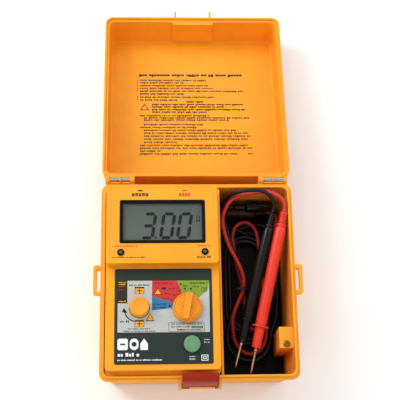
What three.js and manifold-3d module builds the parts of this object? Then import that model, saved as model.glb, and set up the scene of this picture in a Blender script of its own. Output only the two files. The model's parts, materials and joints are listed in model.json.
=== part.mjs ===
// Insulation resistance tester in a hinged plastic case, lying open.
// Millimetres, +Z up, +X to the operator's right, +Y towards the hinge.
// Inside the file every height is above the table and x = y = 0 is the middle of the case base.
import * as THREE from "three";
import { mergeVertices } from "three/addons/utils/BufferGeometryUtils.js";
import Module from "manifold-3d";

const wasm = await Module();
wasm.setup();

// ---------------------------------------------------------------- driving dimensions
const CASE_WIDTH = 165;
const CASE_LENGTH = 170;
const CLOSED_HEIGHT = 92;
const RIM_Z = 56; // parting plane of base and lid
const CORNER_R = 7;
const GAP = 0.3; // between pieces that touch on the real object
const FLOOR_Z = 4; // inside floor of the base
const BASE_BOTTOM_Z = 1.5;
const RIM_BAND = 4; // height of the thicker band round the base rim
const BASE_DRAFT = 3.8;
const RIM_WALL = 4;
const TONGUE_RISE = 2;
const TONGUE_WALL = 1.8;
const BASE_STEP = 1.6; // how far the band stands proud of the wall under it
const LID_DRAFT = 3;
const LID_TOP = 2;
const LID_RIM_WALL = 4.2;
const LID_CAVITY_DRAFT = 0.5;

const PIN_R = 2;
const HINGE_Y = CASE_LENGTH / 2 + 3.85;
const HINGE_Z = RIM_Z;
const KNUCKLE_R = 3.5;
const LID_STANDS = 0.05; // the open lid's far edge above the table

const DIVIDER_X = [17.6, 19.6];
const MODULE_X = [-77.8, 17.2];
const MODULE_Y = [-77.8, 78.7];
const DECK_Z = RIM_Z + 8;
const DISPLAY_Z = RIM_Z + 18;
const DISPLAY_Y = 8.8; // front of the raised display block
const MODULE_WALL = 2.2;
const FLANGE = { x: [-77.95, 17.3], y: [-80.45, 80.45], z: [RIM_Z - 3.4, RIM_Z - 0.4] };
const SKIRT_Z = 51;
const BOARD_Z = [40, 41.6];
const BOSS_SPLIT_Z = 24; // base posts end here, housing bosses start

const KNOB_AT = [-10.1, -26.9];
const TEST_AT = [-49.5, -26.5];
const POWER_AT = [-6.6, -56.9];
const TEST_TRAVEL = 3;
const POWER_TRAVEL = 2.5;
const LED_AT = [[-64.9, 18.5], [5, 18.8]];
const JACK_X = [-49, -11.5];
const JACK_Z = RIM_Z + 10;
const SCREW_AT = [[-70, -71], [9.5, -71], [-70, 71], [9.5, 71]];
const FOOT_AT = [[-66, -60], [66, -66], [-66, 60], [66, 66]];

const LATCH_PIVOT = [-87.6, RIM_Z - 12]; // y, z
const LATCH_HALF = 15;
const LATCH_KNUCKLE_R = 2.6;
const LATCH_BARREL_X = [-8, 12]; // the base's own knuckle, between the latch's two

const LEAD_R = 1.7;
const HANK_HEIGHT = 3.6;
const HANK_CENTRE = [44, 6];
const HANK_TURN_R = 20; // outermost turn's centreline at the ends
const HANK_INNER_R = 10;

const ORANGE = [0xf2a13c, 0.48, 0];
const BLACK_PLASTIC = [0x1b1c1d, 0.5, 0];
const RED_PLASTIC = [0xa8301c, 0.45, 0];
const STEEL = [0xb9bcc0, 0.3, 1];
const GREEN_BOARD = [0x1f5a36, 0.55, 0];
const LABEL = [0x343e3a, 0.5, 0];
const LEAD_RED = [0xd83a33, 0.45, 0];
const LEAD_BLACK = [0x202122, 0.45, 0];
const TIP_METAL = [0xd9c79a, 0.25, 1];
const GREEN_BUTTON = [0x73a57d, 0.5, 0];
const GREY_RUBBER = [0x2b2b2b, 0.8, 0];
const CLEAR = [0x9fa8a4, 0.1, 0];
const LCD_GREY = [0x6a746d, 0.3, 0];
const CELL_GREY = [0x46617a, 0.35, 0.4];

// ---------------------------------------------------------------- solids and meshes
const tester = new THREE.Group();
const model = new THREE.Group();
tester.add(model);

function solid(geometry) {
  const bare = geometry.clone();
  bare.deleteAttribute("normal");
  bare.deleteAttribute("uv");
  const merged = mergeVertices(bare, 1e-4);
  return new wasm.Manifold(
    new wasm.Mesh({
      numProp: 3,
      vertProperties: merged.attributes.position.array,
      triVerts: new Uint32Array(merged.index.array),
    }),
  );
}

function join(first, ...others) {
  return others.reduce((whole, piece) => whole.add(piece), first);
}

function cut(body, ...tools) {
  return tools.reduce((left, tool) => left.subtract(tool), body);
}

function material([color, roughness, metalness]) {
  return new THREE.MeshStandardMaterial({ color, roughness, metalness });
}

function addGeometry(name, geometry, look, parent = model) {
  const mesh = new THREE.Mesh(geometry, material(look));
  mesh.name = name;
  parent.add(mesh);
  return mesh;
}

function add(name, body, look, parent = model) {
  const made = body.getMesh();
  const geometry = new THREE.BufferGeometry();
  geometry.setAttribute("position", new THREE.BufferAttribute(made.vertProperties, 3));
  geometry.setIndex(new THREE.BufferAttribute(made.triVerts, 1));
  geometry.computeVertexNormals();
  return addGeometry(name, geometry, look, parent);
}

function box([x0, x1], [y0, y1], [z0, z1]) {
  const geometry = new THREE.BoxGeometry(x1 - x0, y1 - y0, z1 - z0);
  return solid(geometry.translate((x0 + x1) / 2, (y0 + y1) / 2, (z0 + z1) / 2));
}

function roundedRect([x0, x1], [y0, y1], r) {
  const shape = new THREE.Shape();
  shape.absarc(x1 - r, y0 + r, r, -Math.PI / 2, 0);
  shape.absarc(x1 - r, y1 - r, r, 0, Math.PI / 2);
  shape.absarc(x0 + r, y1 - r, r, Math.PI / 2, Math.PI);
  shape.absarc(x0 + r, y0 + r, r, Math.PI, 1.5 * Math.PI);
  return shape;
}

function extruded(shape, depth, curveSegments = 2) {
  return new THREE.ExtrudeGeometry(shape, { depth, curveSegments, bevelEnabled: false });
}

function plate(shape, [z0, z1], curveSegments = 2) {
  return solid(extruded(shape, z1 - z0, curveSegments).translate(0, 0, z0));
}

// A rounded box whose four sides lean inwards by insets[0] at the bottom and insets[1] at the top.
function drafted(halfX, halfY, r, [z0, z1], insets) {
  const geometry = extruded(roundedRect([-halfX, halfX], [-halfY, halfY], r), z1 - z0);
  const place = geometry.attributes.position;
  for (let i = 0; i < place.count; i++) {
    const inset = place.getZ(i) > (z1 - z0) / 2 ? insets[1] : insets[0];
    place.setX(i, place.getX(i) - Math.sign(place.getX(i)) * inset);
    place.setY(i, place.getY(i) - Math.sign(place.getY(i)) * inset);
  }
  return solid(geometry.translate(0, 0, z0));
}

function upright(r, [z0, z1], [x, y], sides = 16, topR = r) {
  const geometry = new THREE.CylinderGeometry(topR, r, z1 - z0, sides);
  geometry.rotateX(Math.PI / 2);
  return solid(geometry.translate(x, y, (z0 + z1) / 2));
}

function alongX(r, [x0, x1], [y, z], sides = 14) {
  const geometry = new THREE.CylinderGeometry(r, r, x1 - x0, sides);
  geometry.rotateZ(Math.PI / 2);
  return solid(geometry.translate((x0 + x1) / 2, y, z));
}

function alongY(r, [y0, y1], [x, z], sides = 14) {
  const geometry = new THREE.CylinderGeometry(r, r, y1 - y0, sides);
  return solid(geometry.translate(x, (y0 + y1) / 2, z));
}

const SIDE_VIEW = new THREE.Matrix4().makeBasis(
  new THREE.Vector3(0, 1, 0),
  new THREE.Vector3(0, 0, 1),
  new THREE.Vector3(1, 0, 0),
);
const FRONT_VIEW = new THREE.Matrix4().makeBasis(
  new THREE.Vector3(1, 0, 0),
  new THREE.Vector3(0, 0, 1),
  new THREE.Vector3(0, -1, 0),
);

// A shape drawn in (y, z), as wide as the two x values.
function sideProfile(shape, [x0, x1], curveSegments = 4) {
  const geometry = extruded(shape, x1 - x0, curveSegments);
  return solid(geometry.applyMatrix4(SIDE_VIEW).translate(x0, 0, 0));
}

// A shape drawn in (x, z), as deep as the two y values.
function frontProfile(shape, [y0, y1], curveSegments = 2) {
  const geometry = extruded(shape, y1 - y0, curveSegments);
  return solid(geometry.applyMatrix4(FRONT_VIEW).translate(0, y1, 0));
}

// A turned piece: pairs of radius and height, from the bottom of its axis to the top.
function turned(points, sides = 14) {
  const profile = points.map(([r, h]) => new THREE.Vector2(r, h));
  return new THREE.LatheGeometry(profile, sides);
}

// ---------------------------------------------------------------- case base
const RIM_HALF_X = CASE_WIDTH / 2;
const RIM_HALF_Y = CASE_LENGTH / 2;
const CAVITY_HALF_X = RIM_HALF_X - RIM_WALL;
const CAVITY_HALF_Y = RIM_HALF_Y - RIM_WALL;
const CAVITY_DRAFT = 3.9;
const BLOCK = { x: [66.6, 79], y: [-58.6, -40.5], top: RIM_Z - 4, screw: [72.6, -55.2] };
const BATTERY_DOOR = { x: [-54.5, -9.5], y: [-54, 54], tab: [-39, -25], tabEnd: 64 };
const DOOR_SCREW_AT = [-32, 59];
const LOOP = { out: 88.5, y: [-13, 12.5], holeY: [-10.2, 8.7], holeOut: 85.5, z: [50, 56] };

function strapLoop(side) {
  const xs = [79.6, LOOP.out].map((x) => side * x).sort((a, b) => a - b);
  const holeXs = [RIM_HALF_X, LOOP.holeOut].map((x) => side * x).sort((a, b) => a - b);
  const bar = plate(roundedRect(xs, LOOP.y, 1.6), LOOP.z);
  return cut(bar, box(holeXs, LOOP.holeY, [LOOP.z[0] - 1, LOOP.z[1] + 1]));
}

function latchBore() {
  return alongX(1.8, [-LATCH_HALF - 4, LATCH_HALF + 4], LATCH_PIVOT, 10);
}

function latchEar(x0) {
  const [y, z] = LATCH_PIVOT;
  const shape = new THREE.Shape();
  shape.moveTo(-82, RIM_Z - 1);
  shape.lineTo(-86.8, RIM_Z - 1);
  shape.lineTo(y - 3.5, z + 4);
  shape.absarc(y, z, 3.6, Math.PI, 1.6 * Math.PI);
  shape.lineTo(-81, z - 8);
  return cut(sideProfile(shape, [x0, x0 + 2.2]), latchBore());
}

function latchBarrel() {
  const [y, z] = LATCH_PIVOT;
  const web = box(LATCH_BARREL_X, [y + 1, -81.6], [z - 2, z + 2]);
  return cut(join(alongX(LATCH_KNUCKLE_R, LATCH_BARREL_X, LATCH_PIVOT, 16), web), latchBore());
}

function hingeLug(side, x0, x1) {
  const xs = [side * x0, side * x1].sort((a, b) => a - b);
  const shape = new THREE.Shape();
  shape.moveTo(82.5, RIM_Z - 9);
  shape.lineTo(85, RIM_Z - 9);
  shape.absarc(HINGE_Y, HINGE_Z, KNUCKLE_R, -Math.PI / 3, Math.PI * 0.9);
  shape.lineTo(RIM_HALF_Y + 0.3, RIM_Z - 0.2);
  shape.lineTo(82.5, RIM_Z - 0.2);
  return cut(
    sideProfile(shape, xs, 4),
    alongX(PIN_R + GAP, [xs[0] - 1, xs[1] + 1], [HINGE_Y, HINGE_Z], 12),
  );
}

function baseShell() {
  const wallTop = RIM_Z - RIM_BAND;
  const outer = join(
    drafted(
      RIM_HALF_X - BASE_STEP, RIM_HALF_Y - BASE_STEP, CORNER_R,
      [BASE_BOTTOM_Z, wallTop + 0.5], [BASE_DRAFT, 0],
    ),
    plate(
      roundedRect([-RIM_HALF_X, RIM_HALF_X], [-RIM_HALF_Y, RIM_HALF_Y], CORNER_R),
      [wallTop, RIM_Z],
    ),
    plate(
      roundedRect(
        [-CAVITY_HALF_X - TONGUE_WALL, CAVITY_HALF_X + TONGUE_WALL],
        [-CAVITY_HALF_Y - TONGUE_WALL, CAVITY_HALF_Y + TONGUE_WALL],
        CORNER_R - 1,
      ),
      [wallTop, RIM_Z + TONGUE_RISE],
    ),
  );
  const cavity = drafted(
    CAVITY_HALF_X, CAVITY_HALF_Y, CORNER_R - 2, [FLOOR_Z, RIM_Z + 0.01], [CAVITY_DRAFT, 0],
  );
  const mouth = plate(
    roundedRect([-CAVITY_HALF_X, CAVITY_HALF_X], [-CAVITY_HALF_Y, CAVITY_HALF_Y], CORNER_R - 2),
    [RIM_Z - 0.2, RIM_Z + 5],
  );
  let body = cut(outer, cavity, mouth);
  const door = BATTERY_DOOR;
  const screwBlock = box(
    [door.tab[0] - 3, door.tab[1] + 3], [door.y[1] + 0.6, door.tabEnd + 3], [FLOOR_Z - 1, 14],
  );
  const divider = box(DIVIDER_X, [-CAVITY_HALF_Y - 0.4, CAVITY_HALF_Y + 0.4], [FLOOR_Z - 1, RIM_Z - 0.4]);
  const corner = box(BLOCK.x, BLOCK.y, [FLOOR_Z - 1, BLOCK.top]);
  const posts = SCREW_AT.map((at) => upright(4, [FLOOR_Z - 1, BOSS_SPLIT_Z], at, 12));
  const fittings = join(divider, corner, screwBlock, ...posts);
  body = join(body, fittings.intersect(outer));
  for (const side of [-1, 1]) {
    body = join(
      body, strapLoop(side), hingeLug(side, 54, 58), hingeLug(side, 76, 79),
      latchEar(side > 0 ? LATCH_HALF + 0.4 : -LATCH_HALF - 2.6),
    );
  }
  body = join(body, latchBarrel());
  for (const at of SCREW_AT) {
    body = cut(
      body,
      upright(1.8, [0, BOSS_SPLIT_Z + 1], at, 10),
      upright(3.4, [0, 6], at, 12),
    );
  }
  for (const at of FOOT_AT) {
    body = cut(body, upright(5.3, [0, 2.5], at, 14));
  }
  return cut(
    body,
    box(door.x, door.y, [0, FLOOR_Z + 0.1]),
    box(door.tab, [door.y[1] - 1, door.tabEnd], [0, FLOOR_Z - 0.1]),
    upright(1.8, [0, 12], DOOR_SCREW_AT, 10),
    upright(1.8, [BLOCK.top - 12, BLOCK.top + 1], BLOCK.screw, 10),
  );
}

add("base_shell", baseShell(), ORANGE);

for (const [i, at] of FOOT_AT.entries()) {
  add("foot_" + (i + 1), upright(4.4, [0, 2.2], at, 14, 5), GREY_RUBBER);
}

// ---------------------------------------------------------------- lid, in its closed place
const LID_REACH = RIM_HALF_Y - LID_DRAFT + HINGE_Y; // from the hinge axis to the far top edge
const LID_RISE = CLOSED_HEIGHT - HINGE_Z;
const LID_OPEN =
  Math.PI +
  Math.asin((HINGE_Z - LID_STANDS) / Math.hypot(LID_REACH, LID_RISE)) -
  Math.atan2(LID_RISE, LID_REACH);
const LID_Z = RIM_Z + GAP;
const POCKET = { half: 17.3, floor: -80, z: [RIM_Z + 6, RIM_Z + 27.5], wall: 1.8 };

function lidClip(side) {
  const xs = [side * 58.4, side * 75.6].sort((a, b) => a - b);
  const shape = new THREE.Shape();
  shape.moveTo(83.2, LID_Z + 0.05);
  shape.lineTo(HINGE_Y - 2.3, LID_Z + 0.05);
  shape.absarc(HINGE_Y, HINGE_Z, PIN_R + GAP, Math.PI * 0.95, -0.25, true);
  shape.absarc(HINGE_Y, HINGE_Z, KNUCKLE_R, -0.25, Math.PI * 0.42);
  shape.lineTo(83.2, RIM_Z + 11);
  return sideProfile(shape, xs, 5);
}

function keeperRib(side) {
  const xs = [side * 66.1, side * 66.9].sort((a, b) => a - b);
  const ring = alongX(KNUCKLE_R, xs, [HINGE_Y, HINGE_Z], 14);
  return cut(ring, alongX(PIN_R + GAP, [xs[0] - 1, xs[1] + 1], [HINGE_Y, HINGE_Z], 12));
}

function lidShell() {
  const innerX = RIM_HALF_X - LID_RIM_WALL;
  const innerY = RIM_HALF_Y - LID_RIM_WALL;
  const outer = drafted(
    RIM_HALF_X, RIM_HALF_Y, CORNER_R, [LID_Z, CLOSED_HEIGHT], [0, LID_DRAFT],
  );
  const cavity = drafted(
    innerX, innerY, CORNER_R - 2, [LID_Z - 1, CLOSED_HEIGHT - LID_TOP], [0, LID_CAVITY_DRAFT],
  );
  const rebate = plate(
    roundedRect(
      [-CAVITY_HALF_X - TONGUE_WALL - GAP, CAVITY_HALF_X + TONGUE_WALL + GAP],
      [-CAVITY_HALF_Y - TONGUE_WALL - GAP, CAVITY_HALF_Y + TONGUE_WALL + GAP],
      CORNER_R - 1,
    ),
    [LID_Z - 1, RIM_Z + TONGUE_RISE + 0.6],
  );
  const pocketShell = box(
    [-POCKET.half - 2, POCKET.half + 2],
    [POCKET.floor - POCKET.wall, POCKET.floor + POCKET.wall],
    [POCKET.z[0] - 2.8, POCKET.z[1] + 2],
  );
  const pocket = box(
    [-POCKET.half, POCKET.half], [-RIM_HALF_Y - 2, POCKET.floor], POCKET.z,
  );
  let body = cut(join(cut(outer, cavity), pocketShell), pocket, rebate);
  for (const side of [-1, 1]) {
    const earX = side > 0 ? [LATCH_HALF + 0.5, LATCH_HALF + 2.3] : [-LATCH_HALF - 2.3, -LATCH_HALF - 0.5];
    body = join(
      body, lidClip(side), keeperRib(side),
      box(earX, [-92, -83.6], [LID_Z + 0.5, RIM_Z + 5.8]),
    );
  }
  return body.translate([0, -HINGE_Y, -HINGE_Z]);
}

const lidGroup = new THREE.Group();
lidGroup.position.set(0, HINGE_Y, HINGE_Z);
lidGroup.rotation.x = -LID_OPEN;
model.add(lidGroup);
add("lid_shell", lidShell(), ORANGE, lidGroup);

for (const [name, side] of [["hinge_pin_left", -1], ["hinge_pin_right", 1]]) {
  const xs = [side * 54.4, side * 78.6].sort((a, b) => a - b);
  add(name, alongX(PIN_R, xs, [HINGE_Y, HINGE_Z], 12), STEEL);
}

// ---------------------------------------------------------------- latch
function latch() {
  const [y, z] = LATCH_PIVOT;
  const shape = new THREE.Shape();
  shape.absarc(y, z, LATCH_KNUCKLE_R, -Math.PI, 0.1 * Math.PI);
  shape.lineTo(-85.7, z + 7);
  shape.lineTo(-85.5, RIM_Z + 6.4);
  shape.lineTo(-80.8, RIM_Z + 6.4);
  shape.lineTo(-80.5, RIM_Z + 9.4);
  shape.lineTo(-83.5, RIM_Z + 10.6);
  shape.lineTo(-86.6, RIM_Z + 8);
  shape.lineTo(-88.2, RIM_Z + 2);
  shape.lineTo(-88.7, z + 5);
  const barrelRoom = box(
    [LATCH_BARREL_X[0] - 0.4, LATCH_BARREL_X[1] + 0.4], [y - 5, y + 5], [z - 4, z + LATCH_KNUCKLE_R + 0.5],
  );
  return cut(sideProfile(shape, [-LATCH_HALF, LATCH_HALF], 4), latchBore(), barrelRoom);
}

add("latch", latch(), RED_PLASTIC);
add("latch_pin", alongX(1.5, [-17.9, 17.9], LATCH_PIVOT, 10), STEEL);

// ---------------------------------------------------------------- meter module housing
const DISPLAY_X = [MODULE_X[0], MODULE_X[1] - 0.4];
const BEZEL = {
  x: [-65.8, 5.5],
  y: [26.6, 64.2],
  r: 1.5,
  border: 2.4,
  z: [DISPLAY_Z - 1.1, DISPLAY_Z + 0.2],
};
const LABEL_PLATE = { x: [-69.8, 10.5], y: [-72.7, 6.5], z: [DECK_Z - 0.3, DECK_Z + 0.5] };
const POST_AT = [[-68, -58], [8, -58], [-68, 58], [8, 58]];

function meterHousing() {
  const inner = ([a, b]) => [a + MODULE_WALL, b - MODULE_WALL];
  const deck = plate(roundedRect(MODULE_X, MODULE_Y, 3), [SKIRT_Z, DECK_Z]);
  const display = plate(
    roundedRect(DISPLAY_X, [DISPLAY_Y, MODULE_Y[1]], 3), [SKIRT_Z + 1, DISPLAY_Z],
  );
  const flange = plate(roundedRect(FLANGE.x, FLANGE.y, 4), FLANGE.z);
  const lower = plate(
    roundedRect(inner(MODULE_X), inner(MODULE_Y), 1.5), [SKIRT_Z - 1, DECK_Z - MODULE_WALL],
  );
  const upper = plate(
    roundedRect(inner(DISPLAY_X), inner([DISPLAY_Y, MODULE_Y[1]]), 1.5),
    [SKIRT_Z - 1, DISPLAY_Z - MODULE_WALL],
  );
  let body = cut(join(deck, display, flange), lower, upper);
  for (const at of SCREW_AT) {
    const top = at[1] > 0 ? DISPLAY_Z : DECK_Z;
    body = join(body, upright(3.7, [BOSS_SPLIT_Z + GAP, top - 1], at, 12));
  }
  for (const at of POST_AT) {
    const top = at[1] > 0 ? DISPLAY_Z : DECK_Z;
    body = join(body, upright(2.5, [BOARD_Z[1] + GAP, top - 1], at, 10));
  }
  for (const at of SCREW_AT) {
    body = cut(body, upright(1.8, [BOSS_SPLIT_Z - 1, BOSS_SPLIT_Z + 12], at, 10));
  }
  for (const at of LED_AT) {
    body = cut(body, upright(2.8, [DISPLAY_Z - 4, DISPLAY_Z + 1], at, 12));
  }
  for (const x of JACK_X) {
    body = cut(
      body,
      alongY(4.5, [70, 82], [x, JACK_Z], 14),
      alongY(5.8, [MODULE_Y[1] - 0.9, 82], [x, JACK_Z], 14),
    );
  }
  const bezelRecess = roundedRect(
    [BEZEL.x[0] - GAP, BEZEL.x[1] + GAP], [BEZEL.y[0] - GAP, BEZEL.y[1] + GAP], BEZEL.r,
  );
  const labelRecess = roundedRect(
    [LABEL_PLATE.x[0] - GAP, LABEL_PLATE.x[1] + GAP],
    [LABEL_PLATE.y[0] - GAP, LABEL_PLATE.y[1] + GAP],
    1.5,
  );
  return cut(
    body,
    plate(bezelRecess, [BEZEL.z[0] - GAP, DISPLAY_Z + 1]),
    box([-63.4, 3.1], [29, 61.8], [DISPLAY_Z - 4, DISPLAY_Z + 1]),
    plate(labelRecess, [LABEL_PLATE.z[0] - GAP, DECK_Z + 1]),
    upright(4.5, [DECK_Z - 5, DECK_Z + 1], KNOB_AT),
    upright(8.5, [DECK_Z - 5, DECK_Z + 1], TEST_AT),
    upright(7.2, [DECK_Z - 5, DECK_Z + 1], POWER_AT),
  );
}

add("meter_housing", meterHousing(), ORANGE);

function displayBezel() {
  const hole = ([a, b]) => [a + BEZEL.border, b - BEZEL.border];
  return cut(
    plate(roundedRect(BEZEL.x, BEZEL.y, BEZEL.r), BEZEL.z),
    plate(roundedRect(hole(BEZEL.x), hole(BEZEL.y), 0.8), [BEZEL.z[0] - 1, BEZEL.z[1] + 1]),
  );
}

add("display_bezel", displayBezel(), BLACK_PLASTIC);

const windowInset = BEZEL.border + GAP;
add(
  "display_window",
  plate(
    roundedRect(
      [BEZEL.x[0] + windowInset, BEZEL.x[1] - windowInset],
      [BEZEL.y[0] + windowInset, BEZEL.y[1] - windowInset],
      0.6,
    ),
    [DISPLAY_Z - 1, DISPLAY_Z],
  ),
  CLEAR,
);
add("lcd_module", box([-65, 4.7], [27.5, 63.5], [DISPLAY_Z - 8, DISPLAY_Z - 2.5]), LCD_GREY);

function frontPlate() {
  return cut(
    plate(roundedRect(LABEL_PLATE.x, LABEL_PLATE.y, 1.2), LABEL_PLATE.z),
    upright(4.5, [DECK_Z - 1, DECK_Z + 1], KNOB_AT),
    upright(8.5, [DECK_Z - 1, DECK_Z + 1], TEST_AT),
    upright(7.2, [DECK_Z - 1, DECK_Z + 1], POWER_AT),
  );
}

add("front_plate", frontPlate(), LABEL);

function light(at) {
  return join(
    upright(2.9, [DISPLAY_Z + GAP, DISPLAY_Z + 1], at, 14),
    upright(2.5, [DISPLAY_Z - 5, DISPLAY_Z + 0.5], at, 12),
    upright(1.5, [DISPLAY_Z, DISPLAY_Z + 2], at, 10, 0.7),
  );
}

add("live_led", light(LED_AT[0]), BLACK_PLASTIC);
add("power_led", light(LED_AT[1]), BLACK_PLASTIC);

function jack(x) {
  const mouth = MODULE_Y[1] + 0.6;
  return cut(
    join(
      alongY(4.2, [64, mouth - 0.2], [x, JACK_Z], 14),
      alongY(5.5, [MODULE_Y[1] - 0.6, mouth], [x, JACK_Z], 14),
    ),
    alongY(2.2, [66, mouth + 1], [x, JACK_Z], 12),
  );
}

add("earth_jack", jack(JACK_X[0]), BLACK_PLASTIC);
add("line_jack", jack(JACK_X[1]), RED_PLASTIC);

// ---------------------------------------------------------------- controls
const KNOB_Z = [LABEL_PLATE.z[1] + 0.4, RIM_Z + 13.5];
const KNOB_TOP = RIM_Z + 20;
const KNOB_R = 12.3;
const SHAFT_R = 3;
const POINTER = THREE.MathUtils.degToRad(80);

function functionKnob() {
  const disc = upright(KNOB_R, KNOB_Z, [0, 0], 28, KNOB_R - 0.7);
  const bar = plate(roundedRect([-11.6, 11.6], [-3, 3], 1.2), [KNOB_Z[0] + 1, KNOB_TOP], 2);
  const turnedBar = bar.rotate([0, 0, THREE.MathUtils.radToDeg(POINTER)]);
  const bore = upright(SHAFT_R + GAP, [KNOB_Z[0] - 1, KNOB_TOP - 4 + GAP], [0, 0], 12);
  return cut(join(disc, turnedBar), bore).translate([...KNOB_AT, 0]);
}

add("function_knob", functionKnob(), ORANGE);
add(
  "knob_shaft",
  join(
    upright(SHAFT_R, [BOARD_Z[1] + 3, KNOB_TOP - 4], KNOB_AT, 12),
    upright(6, [BOARD_Z[1] + 11.2, BOARD_Z[1] + 12.7], KNOB_AT, 12),
  ),
  STEEL,
);
add(
  "rotary_switch_body",
  cut(
    upright(14, [BOARD_Z[1] + GAP, BOARD_Z[1] + 10.9], KNOB_AT, 16),
    upright(SHAFT_R + GAP, [BOARD_Z[1] + 2.7, BOARD_Z[1] + 12], KNOB_AT, 12),
  ),
  BLACK_PLASTIC,
);

const TEST_CAP_R = 8.15;
const TEST_TOP = RIM_Z + 16;
const TEST_SWITCH_TOP = BOARD_Z[1] + 4.4;
const PLUNGER_FOOT = TEST_SWITCH_TOP + TEST_TRAVEL + GAP;

add(
  "test_button",
  cut(
    join(
      upright(TEST_CAP_R, [DECK_Z - 5, TEST_TOP - 1.2], TEST_AT, 20),
      upright(TEST_CAP_R, [TEST_TOP - 1.2, TEST_TOP], TEST_AT, 20, TEST_CAP_R - 1),
    ),
    upright(2.8, [DECK_Z - 6, TEST_TOP - 4], TEST_AT, 12),
  ),
  ORANGE,
);
add(
  "test_plunger",
  join(
    upright(2.5, [PLUNGER_FOOT, TEST_TOP - 4.3], TEST_AT, 12),
    upright(5.5, [DECK_Z - 8, DECK_Z - 6.3], TEST_AT, 14),
  ),
  BLACK_PLASTIC,
);

function springCoil(radius, wire, [z0, z1], turns, [x, y]) {
  const points = [];
  const steps = turns * 8;
  for (let i = 0; i <= steps; i++) {
    const angle = (i / steps) * turns * 2 * Math.PI;
    const z = z0 + wire + ((z1 - z0 - 2 * wire) * i) / steps;
    points.push(
      new THREE.Vector3(x + radius * Math.cos(angle), y + radius * Math.sin(angle), z),
    );
  }
  const section = new THREE.Shape();
  section.absarc(0, 0, wire, 0, 2 * Math.PI);
  return new THREE.ExtrudeGeometry(section, {
    steps,
    curveSegments: 3,
    bevelEnabled: false,
    extrudePath: new THREE.CatmullRomCurve3(points),
  });
}

const SPRING_Z = [TEST_SWITCH_TOP + GAP, DECK_Z - 8 - GAP];
addGeometry("test_spring", springCoil(4, 0.45, SPRING_Z, 4, TEST_AT), STEEL);
add(
  "test_switch",
  box(
    [TEST_AT[0] - 7, TEST_AT[0] + 7], [TEST_AT[1] - 7, TEST_AT[1] + 7],
    [BOARD_Z[1] + GAP, TEST_SWITCH_TOP],
  ),
  BLACK_PLASTIC,
);

const POWER_R = 6.85;
const POWER_TOP = RIM_Z + 12;
const POWER_SWITCH_TOP = BOARD_Z[1] + 4.4;
add(
  "power_button",
  join(
    upright(POWER_R, [DECK_Z - 4, POWER_TOP - 0.9], POWER_AT, 18),
    upright(POWER_R, [POWER_TOP - 0.9, POWER_TOP], POWER_AT, 18, POWER_R - 0.8),
    upright(2.5, [POWER_SWITCH_TOP + POWER_TRAVEL + GAP, DECK_Z - 3], POWER_AT, 10),
  ),
  GREEN_BUTTON,
);
add(
  "power_switch",
  box(
    [POWER_AT[0] - 5, POWER_AT[0] + 5], [POWER_AT[1] - 5, POWER_AT[1] + 5],
    [BOARD_Z[1] + GAP, POWER_SWITCH_TOP],
  ),
  BLACK_PLASTIC,
);

// ---------------------------------------------------------------- board and what sits on it
add("main_board", box([-72, 12], [-65.5, 65.5], BOARD_Z), GREEN_BOARD);
add("step_up_transformer", box([-62, -38], [18, 40], [BOARD_Z[1] + GAP, BOARD_Z[1] + 17]), CELL_GREY);
add("buzzer", upright(7, [BOARD_Z[1] + GAP, BOARD_Z[1] + 8], [-4, 34], 14), BLACK_PLASTIC);

// ---------------------------------------------------------------- battery tray, cells and door
const CELL_R = 7.25;
const CELL_LENGTH = 50.5;
const CELL_PITCH = 15;
const CELL_X = [-1, 0, 1].map((n) => -32 + n * CELL_PITCH);
const DOOR_TOP = BASE_BOTTOM_Z + 2.2;
const CELL_Z = DOOR_TOP + GAP + CELL_R;
const TRAY = { x: [-56.5, -7.5], y: [-56, 56], z: [FLOOR_Z + GAP, 21.5], wall: 1.5 };

function batteryTray() {
  const shrink = ([a, b]) => [a + TRAY.wall, b - TRAY.wall];
  const hollow = box(shrink(TRAY.x), shrink(TRAY.y), [0, TRAY.z[1] - TRAY.wall]);
  let body = cut(box(TRAY.x, TRAY.y, TRAY.z), hollow);
  body = join(body, box([TRAY.x[0] + 1, TRAY.x[1] - 1], [-0.8, 0.8], [TRAY.z[0], TRAY.z[1] - 1]));
  for (const x of [TRAY.x[0] + 4, TRAY.x[1] - 4]) {
    for (const y of [-50, 50]) {
      body = join(body, upright(3, [TRAY.z[1] - 1, BOARD_Z[0] - GAP], [x, y], 10));
    }
  }
  return cut(body, box([-43, -21], [TRAY.y[1] - 2, TRAY.y[1] + 1], [FLOOR_Z, 14.4]));
}

add("battery_tray", batteryTray(), BLACK_PLASTIC);

let cellNumber = 0;
for (const [row, y0] of [[0, -1.5 - CELL_LENGTH], [1, 1.5]]) {
  for (const [column, x] of CELL_X.entries()) {
    const cell = turned(
      [[0, 0], [CELL_R, 0], [CELL_R, CELL_LENGTH - 1.5], [2.6, CELL_LENGTH - 1.2],
        [2.6, CELL_LENGTH], [0, CELL_LENGTH]],
      12,
    );
    const flipped = (row + column) % 2 === 1;
    if (flipped) cell.rotateZ(Math.PI).translate(0, CELL_LENGTH, 0);
    cellNumber += 1;
    addGeometry("battery_" + cellNumber, cell, CELL_GREY).position.set(x, y0, CELL_Z);
  }
}

function batteryCover() {
  const door = BATTERY_DOOR;
  const inset = ([a, b]) => [a + GAP, b - GAP];
  return cut(
    join(
      box(inset(door.x), inset(door.y), [BASE_BOTTOM_Z, DOOR_TOP]),
      box(inset(door.tab), [door.y[1] - 2, door.tabEnd - GAP], [BASE_BOTTOM_Z, DOOR_TOP - GAP]),
    ),
    upright(1.8, [0, 6], DOOR_SCREW_AT, 10),
    upright(3.2, [0, BASE_BOTTOM_Z + 1.2], DOOR_SCREW_AT, 12),
  );
}

add("battery_cover", batteryCover(), ORANGE);

function screw(headR, headZ, shankEnd, at) {
  return join(
    upright(headR, headZ, at, 12),
    upright(1.5, [Math.min(headZ[0], shankEnd) + 0.1, Math.max(headZ[1], shankEnd)], at, 10),
  );
}

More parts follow.
